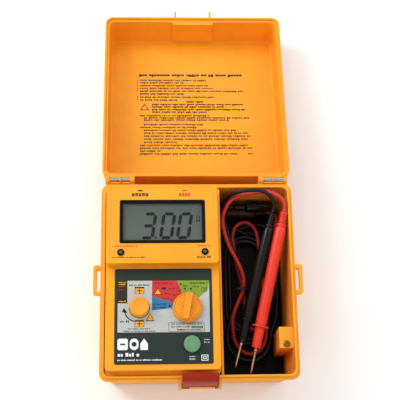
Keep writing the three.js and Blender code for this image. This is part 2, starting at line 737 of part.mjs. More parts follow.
add("battery_cover_screw", screw(2.9, [BASE_BOTTOM_Z, BASE_BOTTOM_Z + 0.9], 10, DOOR_SCREW_AT), STEEL);
for (const [i, at] of SCREW_AT.entries()) {
  add("housing_screw_" + (i + 1), screw(3, [3, 5.7], BOSS_SPLIT_Z + 10, at), STEEL);
}
add(
  "compartment_screw",
  join(
    upright(2.8, [BLOCK.top + GAP, BLOCK.top + 1.8], BLOCK.screw, 12),
    upright(1.5, [BLOCK.top - 10, BLOCK.top + 1], BLOCK.screw, 10),
  ),
  STEEL,
);

// ---------------------------------------------------------------- test probes
const RED_AXIS = { tail: [75.1, 58.7, 57], end: [43.6, -76.4, 33], guard: 100.5, sleeve: 119.2 };
const BLACK_AXIS = { tail: [65.5, 58.8, 54], end: [30.9, -71.1, 30], guard: 94.8, sleeve: 114.3 };
const PROBE_R = 4.9;
const GUARD_R = { red: 7.2, black: 5.9 };

function alongAxis(geometry, { tail, end }) {
  const from = new THREE.Vector3(...tail);
  const direction = new THREE.Vector3(...end).sub(from).normalize();
  const turn = new THREE.Quaternion().setFromUnitVectors(new THREE.Vector3(0, 1, 0), direction);
  return geometry.applyQuaternion(turn).translate(...tail);
}

function probeHandle(axis, guardR) {
  const g = axis.guard;
  return alongAxis(
    turned(
      [[0, 0], [2.7, 0], [3.4, 11], [4.4, 14], [PROBE_R, 22], [PROBE_R, g - 0.9], [guardR, g - 0.7],
        [guardR, g + 0.7], [4.3, g + 0.9], [4, axis.sleeve - 1], [2.8, axis.sleeve], [0, axis.sleeve]],
      12,
    ),
    axis,
  );
}

function probeTip(axis) {
  const length = new THREE.Vector3(...axis.end).distanceTo(new THREE.Vector3(...axis.tail));
  const start = axis.sleeve + GAP;
  return alongAxis(
    turned(
      [[0, start], [1.6, start], [1.6, start + 2.5], [1, start + 3], [1, length - 2.5], [0.35, length],
        [0, length]],
      12,
    ),
    axis,
  );
}

addGeometry("red_probe", probeHandle(RED_AXIS, GUARD_R.red), LEAD_RED);
addGeometry("red_probe_tip", probeTip(RED_AXIS), TIP_METAL);
addGeometry("black_probe", probeHandle(BLACK_AXIS, GUARD_R.black), LEAD_BLACK);
addGeometry("black_probe_tip", probeTip(BLACK_AXIS), TIP_METAL);

// ---------------------------------------------------------------- test leads and plugs
// Each lead leaves the tail of its probe, runs round the compartment, goes into its flat hank and
// comes out again to its plug. The black hank lies on the floor and the red one on top of it.
const RED_ROUTE = [
  [75.2, 59.2, 57.1], [75.7, 62, 57.8], [75, 66, 60], [71.5, 70.5, 62], [66, 74, 62], [60, 76.3, 59.5],
  [52, 77, 57],
  [45, 76.3, 55], [38, 75.5, 52], [31, 73, 49], [27, 69, 46], [24, 63, 42], [23, 57, 38],
  [24, 50, 35], [26, 43, 33], [29, 35, 31], [33, 28, 29], [37, 20, 28], [40, 12, 27],
  [41, 5, 26], [40, -3, 25], [37, -10, 23], [34, -17, 21], [31, -26, 19], [31, -35, 18],
  [32, -44, 17], [36, -52, 17], [43, -57, 17], [52, -55, 17], [58, -48, 17], [60, -38, 17],
  [60, -23, 17], [59, -5, 17], [58, 13, 18], [57, 28, 18], [56, 42, 18], [54, 54, 18],
  [48, 61, 18], [41, 61, 19], [35, 56, 19], [33, 48, 18], [34, 36, 18], [36, 22, 17],
  [39, 9, 16], [41, -2, 16], [42, -12, 15.6], [42, -20, 15], [42.6, -27, 14.6],
  [45.2, -33, 14.3], [51.6, -35.8, 14.1],
];
const BLACK_ROUTE = [
  [65.6, 59.3, 54.1], [66.3, 62, 54.9], [66.3, 66, 57.8], [64.3, 70.3, 61], [60.5, 73.6, 63.4],
  [55, 75.8, 64], [49, 76.6, 63.5], [42, 76.8, 61.8], [36, 76.6, 59.3], [30, 76, 54], [25.2, 73, 47],
  [23, 68, 40.3], [23.9, 61.5, 35], [26, 54.5, 31.6], [28.2, 47, 29.3], [30.6, 38.5, 27.4],
  [33.7, 30, 25.6], [37.2, 21.5, 24.2], [40.3, 13, 23.1], [41.5, 6, 22.1], [40.1, -1, 20.8],
  [36.6, -8.5, 18.6], [32, -18, 16.4], [28.6, -28.5, 15.1], [26.6, -40, 14.2], [27, -49, 14], [32, -57, 14],
  [40, -61.5, 14], [50, -62, 14], [58, -57, 14], [62.5, -49, 14], [65, -37, 14], [69, -26, 14],
  [71, -12, 14], [71.5, 8, 14], [71.5, 26, 14], [71, 42, 14], [68, 53, 13.6], [62, 60, 12.6],
  [54, 61.5, 11.2], [46, 60.3, 10],
];
const RED_END = [
  [56, 22, 14], [59, 30, 14.2], [62.5, 39, 14.8], [65.4, 47, 17], [69.2, 54, 18.6], [72.4, 59.5, 18.9],
  [73.3, 64.5, 18.8], [71.4, 69.2, 18.4], [67.4, 71.4, 18.1], [64.5, 71.5, 18],
];
const BLACK_END = [
  [38, 57.5, 10], [31, 58.5, 11.6], [25.5, 61.5, 15], [23.2, 66, 20], [24, 70.5, 25],
  [28, 72.7, 28.6], [33.8, 72.7, 29.6],
];
const LEAD_STEP = 3.1 * 2 * LEAD_R;

function leadTube(route) {
  const path = new THREE.CatmullRomCurve3(route.map((p) => new THREE.Vector3(...p)));
  const section = new THREE.Shape();
  section.absarc(0, 0, LEAD_R, 0, 2 * Math.PI);
  return new THREE.ExtrudeGeometry(section, {
    steps: Math.ceil(path.getLength() / LEAD_STEP),
    curveSegments: 4,
    bevelEnabled: false,
    extrudePath: path,
  });
}

// A flat hank: a ring with two straight runs and round ends.
function hank(halfRun, z0) {
  const [x, y] = HANK_CENTRE;
  const ring = new THREE.Shape();
  const outerR = HANK_TURN_R + HANK_HEIGHT / 2;
  ring.absarc(x, y + halfRun, outerR, 0, Math.PI);
  ring.absarc(x, y - halfRun, outerR, Math.PI, 2 * Math.PI);
  const hole = new THREE.Path();
  hole.absarc(x, y + halfRun, HANK_INNER_R, 0, Math.PI);
  hole.absarc(x, y - halfRun, HANK_INNER_R, Math.PI, 2 * Math.PI);
  ring.holes.push(hole);
  return plate(ring, [z0, z0 + HANK_HEIGHT], 6);
}

const BLACK_HANK_Z = FLOOR_Z + GAP;
const RED_HANK_Z = BLACK_HANK_Z + HANK_HEIGHT + GAP;
addGeometry("red_lead", leadTube(RED_ROUTE), LEAD_RED);
addGeometry("black_lead", leadTube(BLACK_ROUTE), LEAD_BLACK);
addGeometry("red_lead_end", leadTube(RED_END), LEAD_RED);
addGeometry("black_lead_end", leadTube(BLACK_END), LEAD_BLACK);
add("red_lead_hank", hank(26, RED_HANK_Z), LEAD_RED);
add("black_lead_hank", hank(34, BLACK_HANK_Z), LEAD_BLACK);

const PLUG_LENGTH = 36;
const PLUG_MOUTH_R = 3.4;

function plug(bootX, way, y, z) {
  const body = turned(
    [[0, 0], [2.6, 0], [3.6, 10], [5.2, 12], [5.2, 24], [4.4, 25], [4.4, PLUG_LENGTH],
      [PLUG_MOUTH_R, PLUG_LENGTH], [PLUG_MOUTH_R, 20], [0, 20]],
    16,
  );
  body.rotateZ((-way * Math.PI) / 2);
  return body.translate(bootX, y, z);
}

function plugPin(bootX, way, y, z) {
  const pin = turned(
    [[0, 20.3], [2, 20.3], [2, PLUG_LENGTH - 2.4], [1.4, PLUG_LENGTH - 1], [0, PLUG_LENGTH - 1]],
    12,
  );
  pin.rotateZ((-way * Math.PI) / 2);
  return pin.translate(bootX, y, z);
}

for (const [colour, bootX, way, y, z, look] of [
  ["red", 64.2, -1, 71.5, 18, LEAD_RED],
  ["black", 34.1, 1, 72.7, 29.6, LEAD_BLACK],
]) {
  addGeometry(colour + "_plug", plug(bootX, way, y, z), look);
  addGeometry(colour + "_plug_pin", plugPin(bootX, way, y, z), STEEL);
}

function leadTie() {
  const [x, z] = [39, 21.2];
  const ring = roundedRect([x - 6.2, x + 6.2], [z - 8.5, z + 8.5], 3.5);
  ring.holes.push(roundedRect([x - 5, x + 5], [z - 7.4, z + 7.4], 2.5));
  return frontProfile(ring, [-3.2, -0.7]);
}

add("lead_tie", leadTie(), GREY_RUBBER);

// ---------------------------------------------------------------- origin under the middle of the whole
tester.updateMatrixWorld(true);
const extent = new THREE.Box3().setFromObject(tester, true);
model.position.set(-(extent.min.x + extent.max.x) / 2, -(extent.min.y + extent.max.y) / 2, 0);

export default tester;
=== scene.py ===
"""Insulation resistance tester in an open hinged case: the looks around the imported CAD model.

Shapes are written in millimetres in the case's own frame (x = y = 0 in the middle of the base,
heights above the table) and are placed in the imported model's frame in metres.
"""
import json
import math
import random
from itertools import accumulate

import bmesh
import bpy
from mathutils import Matrix, Vector


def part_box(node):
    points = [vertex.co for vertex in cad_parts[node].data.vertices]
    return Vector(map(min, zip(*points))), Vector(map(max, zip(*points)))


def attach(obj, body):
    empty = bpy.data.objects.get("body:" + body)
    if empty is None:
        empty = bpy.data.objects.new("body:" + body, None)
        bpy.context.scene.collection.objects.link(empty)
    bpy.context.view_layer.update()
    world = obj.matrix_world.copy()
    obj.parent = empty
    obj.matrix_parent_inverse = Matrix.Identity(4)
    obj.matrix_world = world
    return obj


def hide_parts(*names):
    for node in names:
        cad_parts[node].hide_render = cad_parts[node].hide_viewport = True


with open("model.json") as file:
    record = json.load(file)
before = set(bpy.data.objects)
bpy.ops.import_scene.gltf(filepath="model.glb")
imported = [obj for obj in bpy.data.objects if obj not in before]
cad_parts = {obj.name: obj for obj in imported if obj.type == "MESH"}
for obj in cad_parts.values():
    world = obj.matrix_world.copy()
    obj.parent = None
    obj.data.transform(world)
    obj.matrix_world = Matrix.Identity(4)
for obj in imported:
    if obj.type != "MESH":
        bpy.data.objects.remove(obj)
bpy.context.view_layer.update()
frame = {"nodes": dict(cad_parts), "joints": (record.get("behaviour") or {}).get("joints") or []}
nodes = frame["nodes"]

# -------- frames
MM = 0.001
RIM_Z = 56.0
HINGE = Vector((0.0, 88.85, RIM_Z))
pin_low, pin_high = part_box("hinge_pin_left")
CASE_Y = (pin_low.y + pin_high.y) / 2 / MM - HINGE.y
ROW = Matrix.Scale(MM, 4) @ Matrix.Translation((0, CASE_Y, 0))
lid_joint = next(j for j in frame["joints"] if j["name"] == "lid_hinge")
LID_OPEN = math.radians(max(abs(v) for v in lid_joint["range_deg"]))
LID = ROW @ Matrix.Translation(HINGE) @ Matrix.Rotation(-LID_OPEN, 4, "X") @ Matrix.Translation(-HINGE)


def in_row(points):
    return [ROW @ Vector(p) for p in points]


def placed(name, data):
    """A new object in the scene."""
    item = bpy.data.objects.new(name, data)
    bpy.context.scene.collection.objects.link(item)
    return item


# -------- camera
CAMERA_AT = (-37.41, -202.82, 848.84)
CAMERA_RIGHT = (0.99886, -0.01868, 0.04394)
CAMERA_AHEAD = (0.04763, 0.32533, -0.94440)

camera_data = bpy.data.cameras.new("camera")
camera_data.lens = 87.2
camera_data.sensor_width = 36.0
camera_data.clip_start = 0.01
camera_data.clip_end = 50
camera = placed("camera", camera_data)
right = Vector(CAMERA_RIGHT).normalized()
ahead = Vector(CAMERA_AHEAD).normalized()
turn = Matrix((right, right.cross(ahead), -ahead)).transposed().to_4x4()
camera.matrix_world = Matrix.Translation(ROW @ Vector(CAMERA_AT)) @ turn
bpy.context.scene.camera = camera


# -------- materials
def linear(rgb):
    """Screen colour 0 to 255 as linear light 0 to 1."""
    return [((c / 255 + 0.055) / 1.055) ** 2.4 if c > 10 else c / 255 / 12.92 for c in rgb]


class Nodes:
    """A material's node tree with short calls."""

    def __init__(self, name):
        self.material = bpy.data.materials.new(name)
        self.material.use_nodes = True
        self.tree = self.material.node_tree
        self.shader = self.tree.nodes["Principled BSDF"]
        self.place = self.tree.nodes.new("ShaderNodeTexCoord").outputs["Object"]

    def link(self, out, into):
        self.tree.links.new(out, into)

    def noise(self, scale, detail=2.0, rough=0.5, stretch=None):
        node = self.tree.nodes.new("ShaderNodeTexNoise")
        node.inputs["Scale"].default_value = scale
        node.inputs["Detail"].default_value = detail
        node.inputs["Roughness"].default_value = rough
        source = self.place
        if stretch:
            mapping = self.tree.nodes.new("ShaderNodeMapping")
            mapping.inputs["Scale"].default_value = stretch
            self.link(source, mapping.inputs["Vector"])
            source = mapping.outputs["Vector"]
        self.link(source, node.inputs["Vector"])
        return node.outputs["Fac"]

    def spread(self, value, low, high, start=0.3, end=0.7):
        node = self.tree.nodes.new("ShaderNodeMapRange")
        for key, number in (("From Min", start), ("From Max", end), ("To Min", low), ("To Max", high)):
            node.inputs[key].default_value = number
        self.link(value, node.inputs["Value"])
        return node.outputs["Result"]

    def mix(self, share, first, second):
        node = self.tree.nodes.new("ShaderNodeMix")
        node.data_type = "RGBA"
        self.link(share, node.inputs["Factor"])
        for socket, colour in ((node.inputs[6], first), (node.inputs[7], second)):
            if isinstance(colour, bpy.types.NodeSocket):
                self.link(colour, socket)
            else:
                socket.default_value = (*linear(colour), 1)
        return node.outputs[2]

    def multiply_add(self, value, factor, addend):
        node = self.tree.nodes.new("ShaderNodeMath")
        node.operation = "MULTIPLY_ADD"
        for socket, given in zip(node.inputs, (value, factor, addend)):
            if isinstance(given, bpy.types.NodeSocket):
                self.link(given, socket)
            else:
                socket.default_value = given
        return node.outputs[0]

    def blend(self, first, second, scale=38, detail=5, rough=0.6):
        """Noise that wanders between two colours."""
        return self.mix(self.spread(self.noise(scale, detail, rough), 0, 1), first, second)

    def gloss(self, low, high):
        return self.spread(self.noise(90, 4, 0.65), low, high)

    def along(self, axis):
        """The place along one axis of the piece, in metres."""
        node = self.tree.nodes.new("ShaderNodeSeparateXYZ")
        self.link(self.place, node.inputs[0])
        return node.outputs[axis]

    def grain(self, scale, strength, distance=0.00006, detail=3, rough=0.6):
        return self.bump(self.noise(scale, detail, rough), strength, distance)

    def bump(self, height, strength, distance, below=None):
        node = self.tree.nodes.new("ShaderNodeBump")
        node.inputs["Strength"].default_value = strength
        node.inputs["Distance"].default_value = distance
        self.link(height, node.inputs["Height"])
        if below:
            self.link(below, node.inputs["Normal"])
        return node.outputs["Normal"]

    def set(self, **values):
        for key, value in values.items():
            socket = self.shader.inputs[key.replace("_", " ")]
            if isinstance(value, bpy.types.NodeSocket):
                self.link(value, socket)
            else:
                socket.default_value = value
        return self.material


def plastic(name, rgb, rough=0.45, grain=1400, bump=0.25, mottle=0.05, specular=0.5, coat=0.0):
    """Moulded plastic: fine spark-eroded texture, faint flow marks in the colour, uneven gloss."""
    n = Nodes(name)
    darker = [c * (1 - mottle) for c in rgb]
    lighter = [min(255, c * (1 + mottle)) for c in rgb]
    flow = n.bump(n.noise(60, 2, 0.5), 0.12, 0.0004, n.grain(grain, bump))
    return n.set(
        Base_Color=n.blend(darker, lighter), Roughness=n.gloss(rough - 0.06, rough + 0.08),
        Normal=flow, Specular_IOR_Level=specular, Coat_Weight=coat,
    )


def painted_depth_shade(name, unshaded_colour, painted_shade_colour, low, high):
    """Soft insulation darkened by painted shade the deeper it lies in the compartment."""
    n = Nodes(name)
    # painted shade: the dark colour below low, the unshaded colour above high
    height = n.spread(n.along("Z"), 0, 1, low, high)
    unshaded_blend = n.blend([c * 0.94 for c in unshaded_colour], unshaded_colour)
    return n.set(
        Base_Color=n.mix(height, painted_shade_colour, unshaded_blend), Roughness=n.gloss(0.34, 0.5),
        Normal=n.grain(1300, 0.12), Specular_IOR_Level=0.35,
    )


def metal(name, rgb, rough=0.3, stretch=(1, 1, 1), grain=900):
    """Plated or turned metal with fine drawn lines along the stretched axis."""
    n = Nodes(name)
    line = n.noise(grain, 3, 0.6, stretch)
    return n.set(
        Base_Color=n.blend([c * 0.86 for c in rgb], rgb, 140, 4),
        Metallic=1.0,
        Roughness=n.spread(line, rough - 0.08, rough + 0.12),
        Normal=n.bump(line, 0.2, 0.00003),
    )


def print_ink(name, rgb, rough=0.5):
    """Screen-printed ink: nearly even, with a dry grain."""
    n = Nodes(name)
    return n.set(
        Base_Color=n.blend([c * 0.93 for c in rgb], rgb, 700, 3), Roughness=rough,
        Specular_IOR_Level=0.25, Normal=n.grain(1600, 0.12, 0.00003, 2, 0.5),
    )


ORANGE_RGB = (243, 160, 30)
orange = plastic("orange_moulded", ORANGE_RGB, rough=0.5, grain=1500, bump=0.3, mottle=0.03, specular=0.3)
knob_orange = plastic(
    "orange_control", (240, 152, 34), rough=0.42, grain=1700, bump=0.15, mottle=0.03, specular=0.3
)


def painted_shade_case_inside():
    """The case's inside: a duller orange with painted shade.

    The painted shade darkens towards the floor, with a mottled edge, and reaches less far up towards the
    outer wall.
    """
    n = Nodes("orange_inside_painted_shade")
    # painted shade: near black low in the compartment, fading to orange higher up and towards the outer
    # wall; the noise mottles its edge
    marks = n.multiply_add(n.noise(26, 5, 0.65, (1.6, 0.5, 1)), 0.022, 0.0)
    sideways = n.multiply_add(n.along("X"), 20.0, 0.1)
    reach = n.multiply_add(n.along("Z"), sideways, marks)
    height = n.spread(reach, 0, 1, 0.021, 0.047)
    unshaded_colour = n.blend((226, 132, 44), (236, 144, 50))
    painted_shade_colour = n.blend((6, 5, 5), (17, 12, 10), 70, 4)
    return n.set(
        Base_Color=n.mix(height, painted_shade_colour, unshaded_colour), Roughness=n.gloss(0.42, 0.6),
        Specular_IOR_Level=0.12, Normal=n.grain(1500, 0.3),
    )


# the case's inside material, with painted shade
inside = painted_shade_case_inside()
black = plastic("black_moulded", (20, 21, 22), rough=0.42, grain=1200, mottle=0.12, specular=0.3)
bezel_black = plastic("bezel_black", (5, 5, 6), rough=0.5, grain=1600, bump=0.12, mottle=0.1, specular=0.12)
led_lens = plastic("led_lens", (74, 78, 82), rough=0.18, grain=900, bump=0.05, mottle=0.1)
latch_red = plastic(
    "latch_red", (158, 34, 16), rough=0.34, grain=1500, bump=0.15, mottle=0.06, specular=0.12
)
jack_red = plastic("jack_red", (186, 44, 34), rough=0.35, grain=1500, bump=0.15)
green = plastic("green_button", (98, 146, 108), rough=0.5, grain=1300, bump=0.3, specular=0.35)
probe_red = plastic("probe_red", (228, 58, 38), rough=0.34, grain=1100, bump=0.1, specular=0.35)
probe_black = plastic("probe_black", (9, 9, 10), rough=0.3, grain=1100, bump=0.12, mottle=0.1, specular=0.3)
# painted shade: the red lead darkens the deeper it lies in the compartment
lead_red = painted_depth_shade("lead_red", (214, 58, 42), (34, 10, 8), 0.0125, 0.023)
# painted shade: the red plug's colour is set dark as painted shade, and darkens further the deeper it lies
plug_red = painted_depth_shade("plug_red", (92, 34, 28), (44, 16, 13), 0.008, 0.034)
lead_black = plastic(
    "lead_black", (13, 13, 14), rough=0.38, grain=1300, bump=0.12, mottle=0.1, specular=0.35
)
rubber = plastic("rubber_dark", (36, 36, 36), rough=0.75, grain=800, bump=0.4, mottle=0.1)
tie_black = plastic("tie_black", (14, 14, 15), rough=0.6, grain=900, bump=0.3, mottle=0.1)
film = plastic("panel_film", (42, 52, 48), rough=0.5, grain=2200, bump=0.2, mottle=0.03, specular=0.15)
steel = metal("plated_steel", (205, 206, 210), 0.28, (0.1, 1, 1))
pin_steel = metal("pin_steel", (178, 180, 186), 0.3, (0.05, 1, 1))
screw_steel = metal("screw_steel", (158, 118, 72), 0.4)
brass = metal("probe_gold", (232, 214, 170), 0.22, (1, 1, 0.3))
board_green = plastic("board_green", (30, 92, 52), rough=0.4, grain=500, bump=0.3, mottle=0.2)
core = metal("core_laminations", (70, 70, 76), 0.45, (1, 1, 18), 260)
cell = plastic("cell_sleeve", (64, 92, 120), rough=0.25, grain=900, bump=0.05, mottle=0.1, coat=0.3)
ink_dark = print_ink("ink_dark", (38, 30, 26))
ink_brown = print_ink("ink_brown", (70, 40, 20))
ink_grey = print_ink("ink_grey", (188, 192, 188), 0.55)
ink_red = print_ink("ink_red", (198, 50, 52))
ink_blue = print_ink("ink_blue", (40, 122, 168))
ink_green = print_ink("ink_green", (130, 160, 44))
ink_amber = print_ink("ink_amber", (244, 170, 36))
orange_ink = print_ink("orange_ink", ORANGE_RGB)
ink_white = print_ink("ink_white", (244, 244, 240))
ink_deep_red = print_ink("ink_deep_red", (150, 30, 34))
ink_panel_red = print_ink("ink_panel_red", (206, 70, 34))


def display_glass():
    """The liquid-crystal glass: a faint vertical drift of grey-green with a fine cell grain."""
    n = Nodes("lcd_grey")
    drift = n.mix(n.spread(n.along("Y"), 0, 1, -0.057, -0.021), (96, 104, 98), (82, 90, 86))
    return n.set(
        Base_Color=n.mix(n.spread(n.noise(240, 2, 0.5), 0, 0.08), drift, (112, 120, 112)),
        Specular_IOR_Level=0.2, Roughness=0.4, Normal=n.grain(900, 0.04, 0.00002, 2, 0.5),
    )


lcd = display_glass()
lcd_ink = print_ink("lcd_segments", (10, 12, 20))


def clear():
    """The display's cover: a thin clear pane with slight wear."""
    n = Nodes("clear_window")
    n.material.surface_render_method = "BLENDED"
    return n.set(
        Base_Color=(0.05, 0.055, 0.055, 1), Roughness=n.spread(n.noise(300, 5, 0.7), 0.04, 0.14),
        Alpha=0.05, Normal=n.grain(45, 0.05, 0.0003, 2, 0.5),
    )


window_clear = clear()


# -------- mesh helpers (millimetres)
def rounded(xs, ys, r, z, seg=5):
    """A rounded rectangle, anticlockwise, as points at height z."""
    x0, x1 = xs
    y0, y1 = ys
    r = max(min(r, (x1 - x0) / 2 - 0.01, (y1 - y0) / 2 - 0.01), 0.02)
    corners = ((x1 - r, y0 + r, -90), (x1 - r, y1 - r, 0), (x0 + r, y1 - r, 90), (x0 + r, y0 + r, 180))
    points = []
    for cx, cy, start in corners:
        for i in range(seg + 1):
            a = math.radians(start + 90 * i / seg)
            points.append(Vector((cx + r * math.cos(a), cy + r * math.sin(a), z)))
    return points


def circle(r, centre, sides=48):
    """(x, y) points of a circle, for flat marks."""
    steps = [2 * math.pi * i / sides for i in range(sides)]
    return [(centre[0] + r * math.cos(a), centre[1] + r * math.sin(a)) for a in steps]


def flat_rounded(xs, ys, r, seg):
    """(x, y) points of a rounded rectangle, for flat marks."""
    return [(p.x, p.y) for p in rounded(xs, ys, r, 0, seg)]


def eased(profile, steps=3):
    """(inset, height, radius) corners as a list of (inset, height) with each corner rounded."""
    out = []
    for i, (d, z, r) in enumerate(profile):
        if i in (0, len(profile) - 1) or r <= 0:
            out.append((d, z))
            continue
        p = Vector((d, z))
        a = Vector(profile[i - 1][:2]) - p
        b = Vector(profile[i + 1][:2]) - p
        half = a.angle(b) / 2
        reach = min(r / math.tan(half), 0.48 * a.length, 0.48 * b.length)
        start, end = p + a.normalized() * reach, p + b.normalized() * reach
        for k in range(steps + 1):
            t = k / steps
            q = start * (1 - t) ** 2 + p * 2 * t * (1 - t) + end * t ** 2
            out.append((q.x, q.y))
    return out


def loft(bm, rings, closed=False):
    """Joins rings of equal length with quads, and caps the ends or joins the last ring to the first."""
    made = [[bm.verts.new(p) for p in ring] for ring in rings]
    count = len(made[0])
    for low, high in list(zip(made, made[1:])) + ([(made[-1], made[0])] if closed else []):
        for i in range(count):
            j = (i + 1) % count
            bm.faces.new((low[i], low[j], high[j], high[i]))
    if not closed:
        bm.faces.new(list(reversed(made[0])))
        bm.faces.new(made[-1])


def slab(bm, xs, ys, zs, r=1.0, edge=0.4, bottom=None, seg=5, draft=0.0):
    """A rounded plate with softened top and bottom edges; draft leans its sides inwards at the top."""
    low = edge if bottom is None else bottom
    profile = eased([
        (low + 0.01, zs[0], 0), (0, zs[0], low), (draft, zs[1], edge), (draft + edge + 0.01, zs[1], 0),
    ])
    loft(bm, [
        rounded((xs[0] + d, xs[1] - d), (ys[0] + d, ys[1] - d), max(r - d, 0.05), z, seg)
        for d, z in profile
    ])


def ring_frame(bm, outer, inner, zs, edge=0.3, seg=5):
    """A rounded frame round a rounded hole. outer and inner are (xs, ys, r)."""
    def inset(shape, d, z):
        xs, ys, r = shape
        return rounded((xs[0] + d, xs[1] - d), (ys[0] + d, ys[1] - d), max(r - d, 0.05), z, seg)

    z0, z1 = zs
    k = edge * 0.3
    loft(bm, [
        inset(outer, 0, z0 + edge), inset(outer, 0, z1 - edge), inset(outer, k, z1 - k),
        inset(outer, edge, z1), inset(inner, -edge, z1), inset(inner, -k, z1 - k),
        inset(inner, 0, z1 - edge), inset(inner, 0, z0 + edge), inset(inner, -edge, z0),
        inset(outer, edge, z0),
    ], closed=True)


def lathe(bm, profile, axis=None, sides=48, wave=None):
    """Turns (radius, height) pairs about Z, or about axis. wave(angle, height) scales the radius."""
    axis = axis or Matrix.Identity(4)
    rings = []
    for r, h in profile:
        ring = []
        for i in range(sides):
            a = 2 * math.pi * i / sides
            s = r * (wave(a, h) if wave else 1)
            ring.append(axis @ Vector((s * math.cos(a), s * math.sin(a), h)))
        rings.append(ring)
    loft(bm, rings)


def soften(bm, width, segments):
    """Rounds every edge that turns by more than a little."""
    edges = [e for e in bm.edges if len(e.link_faces) == 2 and e.calc_face_angle(0) > math.radians(25)]
    bmesh.ops.bevel(
        bm, geom=edges, offset=width, segments=segments, profile=0.6, affect="EDGES", clamp_overlap=True
    )


def prism(bm, outline, span, plane, bevel=0.4, segments=2):
    """A closed outline swept along the axis that its plane leaves out: 'yz' along x, 'xz' along y."""
    own = bmesh.new()
    loft(own, [[Vector((s, a, b) if plane == "yz" else (a, s, b)) for a, b in outline] for s in span])
    bmesh.ops.recalc_face_normals(own, faces=own.faces)
    if bevel:
        soften(own, bevel, segments)
    mesh = bpy.data.meshes.new("part")
    own.to_mesh(mesh)
    own.free()
    bm.from_mesh(mesh)
    bpy.data.meshes.remove(mesh)


def arc(cx, cy, r, start, end, steps=6):
    """Points of an arc in degrees, for prism outlines."""
    turns = [math.radians(start + (end - start) * i / steps) for i in range(steps + 1)]
    return [(cx + r * math.cos(a), cy + r * math.sin(a)) for a in turns]


def along(tail, end):
    """The frame whose Z axis runs from tail to end."""
    direction = (Vector(end) - Vector(tail)).normalized()
    return Matrix.Translation(tail) @ direction.to_track_quat("Z", "Y").to_matrix().to_4x4()


def upright_at(at, z=0):
    return Matrix.Translation((*at, z))


def temporary(bm):
    """bm as an object that a boolean can work on."""
    mesh = bpy.data.meshes.new("part")
    bmesh.ops.recalc_face_normals(bm, faces=bm.faces)
    bm.to_mesh(mesh)
    return placed("part", mesh)


def combine(bm, other, operation):
    """Joins or cuts bm with other exactly, and returns the result as a new bmesh."""
    body, tool = temporary(bm), temporary(other)
    modifier = body.modifiers.new("join", "BOOLEAN")
    modifier.operation, modifier.solver, modifier.object = operation, "EXACT", tool
    modifier.use_self = True
    bpy.context.view_layer.update()
    result = bmesh.new()
    result.from_mesh(body.evaluated_get(bpy.context.evaluated_depsgraph_get()).to_mesh())
    for item in (body, tool):
        mesh = item.data
        bpy.data.objects.remove(item)
        bpy.data.meshes.remove(mesh)
    bm.free()
    other.free()
    return result


def piece(name, bm, body, materials, node=None, place=ROW, smooth=32, weighted=True):
    """Makes bm the object name in metres, riding on body and standing for node.

    materials is one material or a list.
    """
    bmesh.ops.remove_doubles(bm, verts=bm.verts, dist=1e-4)
    bm.transform(place)
    bmesh.ops.recalc_face_normals(bm, faces=bm.faces)
    limit = math.radians(smooth)
    for face in bm.faces:
        face.smooth = True
    for edge in bm.edges:
        edge.smooth = len(edge.link_faces) == 2 and edge.calc_face_angle(0) < limit
    mesh = bpy.data.meshes.new(name)
    bm.to_mesh(mesh)
    bm.free()
    for material in materials if isinstance(materials, list) else [materials]:
        mesh.materials.append(material)
    item = placed(name, mesh)
    if weighted:
        item.modifiers.new("even", "WEIGHTED_NORMAL").keep_sharp = True
    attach(item, body)
    if node:
        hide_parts(node)
    return item


def turned(name, profile, axis, sides, body, materials, node, smooth=32, wave=None):
    """A piece turned from its (radius, height) profile."""
    bm = bmesh.new()
    lathe(bm, profile, axis, sides, wave)
    return piece(name, bm, body, materials, node, smooth=smooth, weighted=False)


# -------- leads
LEAD_D = 3.4
LEAD_R = LEAD_D / 2
RED_ROUTE = [
    (75.2, 59.2, 57.1), (75.7, 62, 57.8), (75, 66, 60), (71.5, 70.5, 62), (66, 74, 62), (60, 76.3, 59.5),
    (52, 77, 57), (45, 76.3, 55), (38, 75.5, 52), (31, 73, 49), (27, 69, 46), (24, 63, 42), (23, 57, 38),
    (24, 50, 35), (26, 43, 33), (29, 35, 31), (33, 28, 29), (37, 20, 28), (40, 12, 27),
    (41, 5, 26), (40, -3, 25), (37, -10, 23), (34, -17, 21), (31, -26, 19), (31, -35, 18),
    (32, -44, 17), (36, -52, 17), (43, -57, 17), (52, -55, 17), (58, -48, 17), (60, -38, 17),
    (60, -23, 17), (59, -5, 17), (58, 13, 18), (57, 28, 18), (56, 42, 18), (54, 54, 18),
    (48, 61, 18), (41, 61, 19), (35, 56, 19), (33, 48, 18), (34, 36, 18), (36, 22, 17),
    (39, 9, 16), (41, -2, 16), (42, -12, 15.6), (42, -20, 15), (42.6, -27, 14.6),
    (45.2, -33, 14.3), (51.6, -35.8, 14.1),
]
BLACK_ROUTE = [
    (65.6, 59.3, 54.1), (66.3, 62, 54.9), (66.3, 66, 57.8), (64.3, 70.3, 61), (60.5, 73.6, 63.4),
    (55, 75.8, 64), (49, 76.6, 63.5), (42, 76.8, 61.8), (36, 76.6, 59.3), (30, 76, 54), (25.2, 73, 47),
    (23, 68, 40.3), (23.9, 61.5, 35), (26, 54.5, 31.6), (28.2, 47, 29.3), (30.6, 38.5, 27.4),
    (33.7, 30, 25.6), (37.2, 21.5, 24.2), (40.3, 13, 23.1), (41.5, 6, 22.1), (40.1, -1, 20.8),
    (36.6, -8.5, 18.6),
    (32, -18, 16.4), (28.6, -28.5, 15.1), (26.6, -40, 14.2),
    (27, -49, 14), (32, -57, 14), (40, -61.5, 14), (50, -62, 14), (58, -57, 14), (62.5, -49, 14),
    (65, -37, 14), (69, -26, 14), (71, -12, 14), (71.5, 8, 14), (71.5, 26, 14), (71, 42, 14),
    (68, 53, 13.6), (62, 60, 12.6), (54, 61.5, 11.2), (46, 60.3, 10),
]
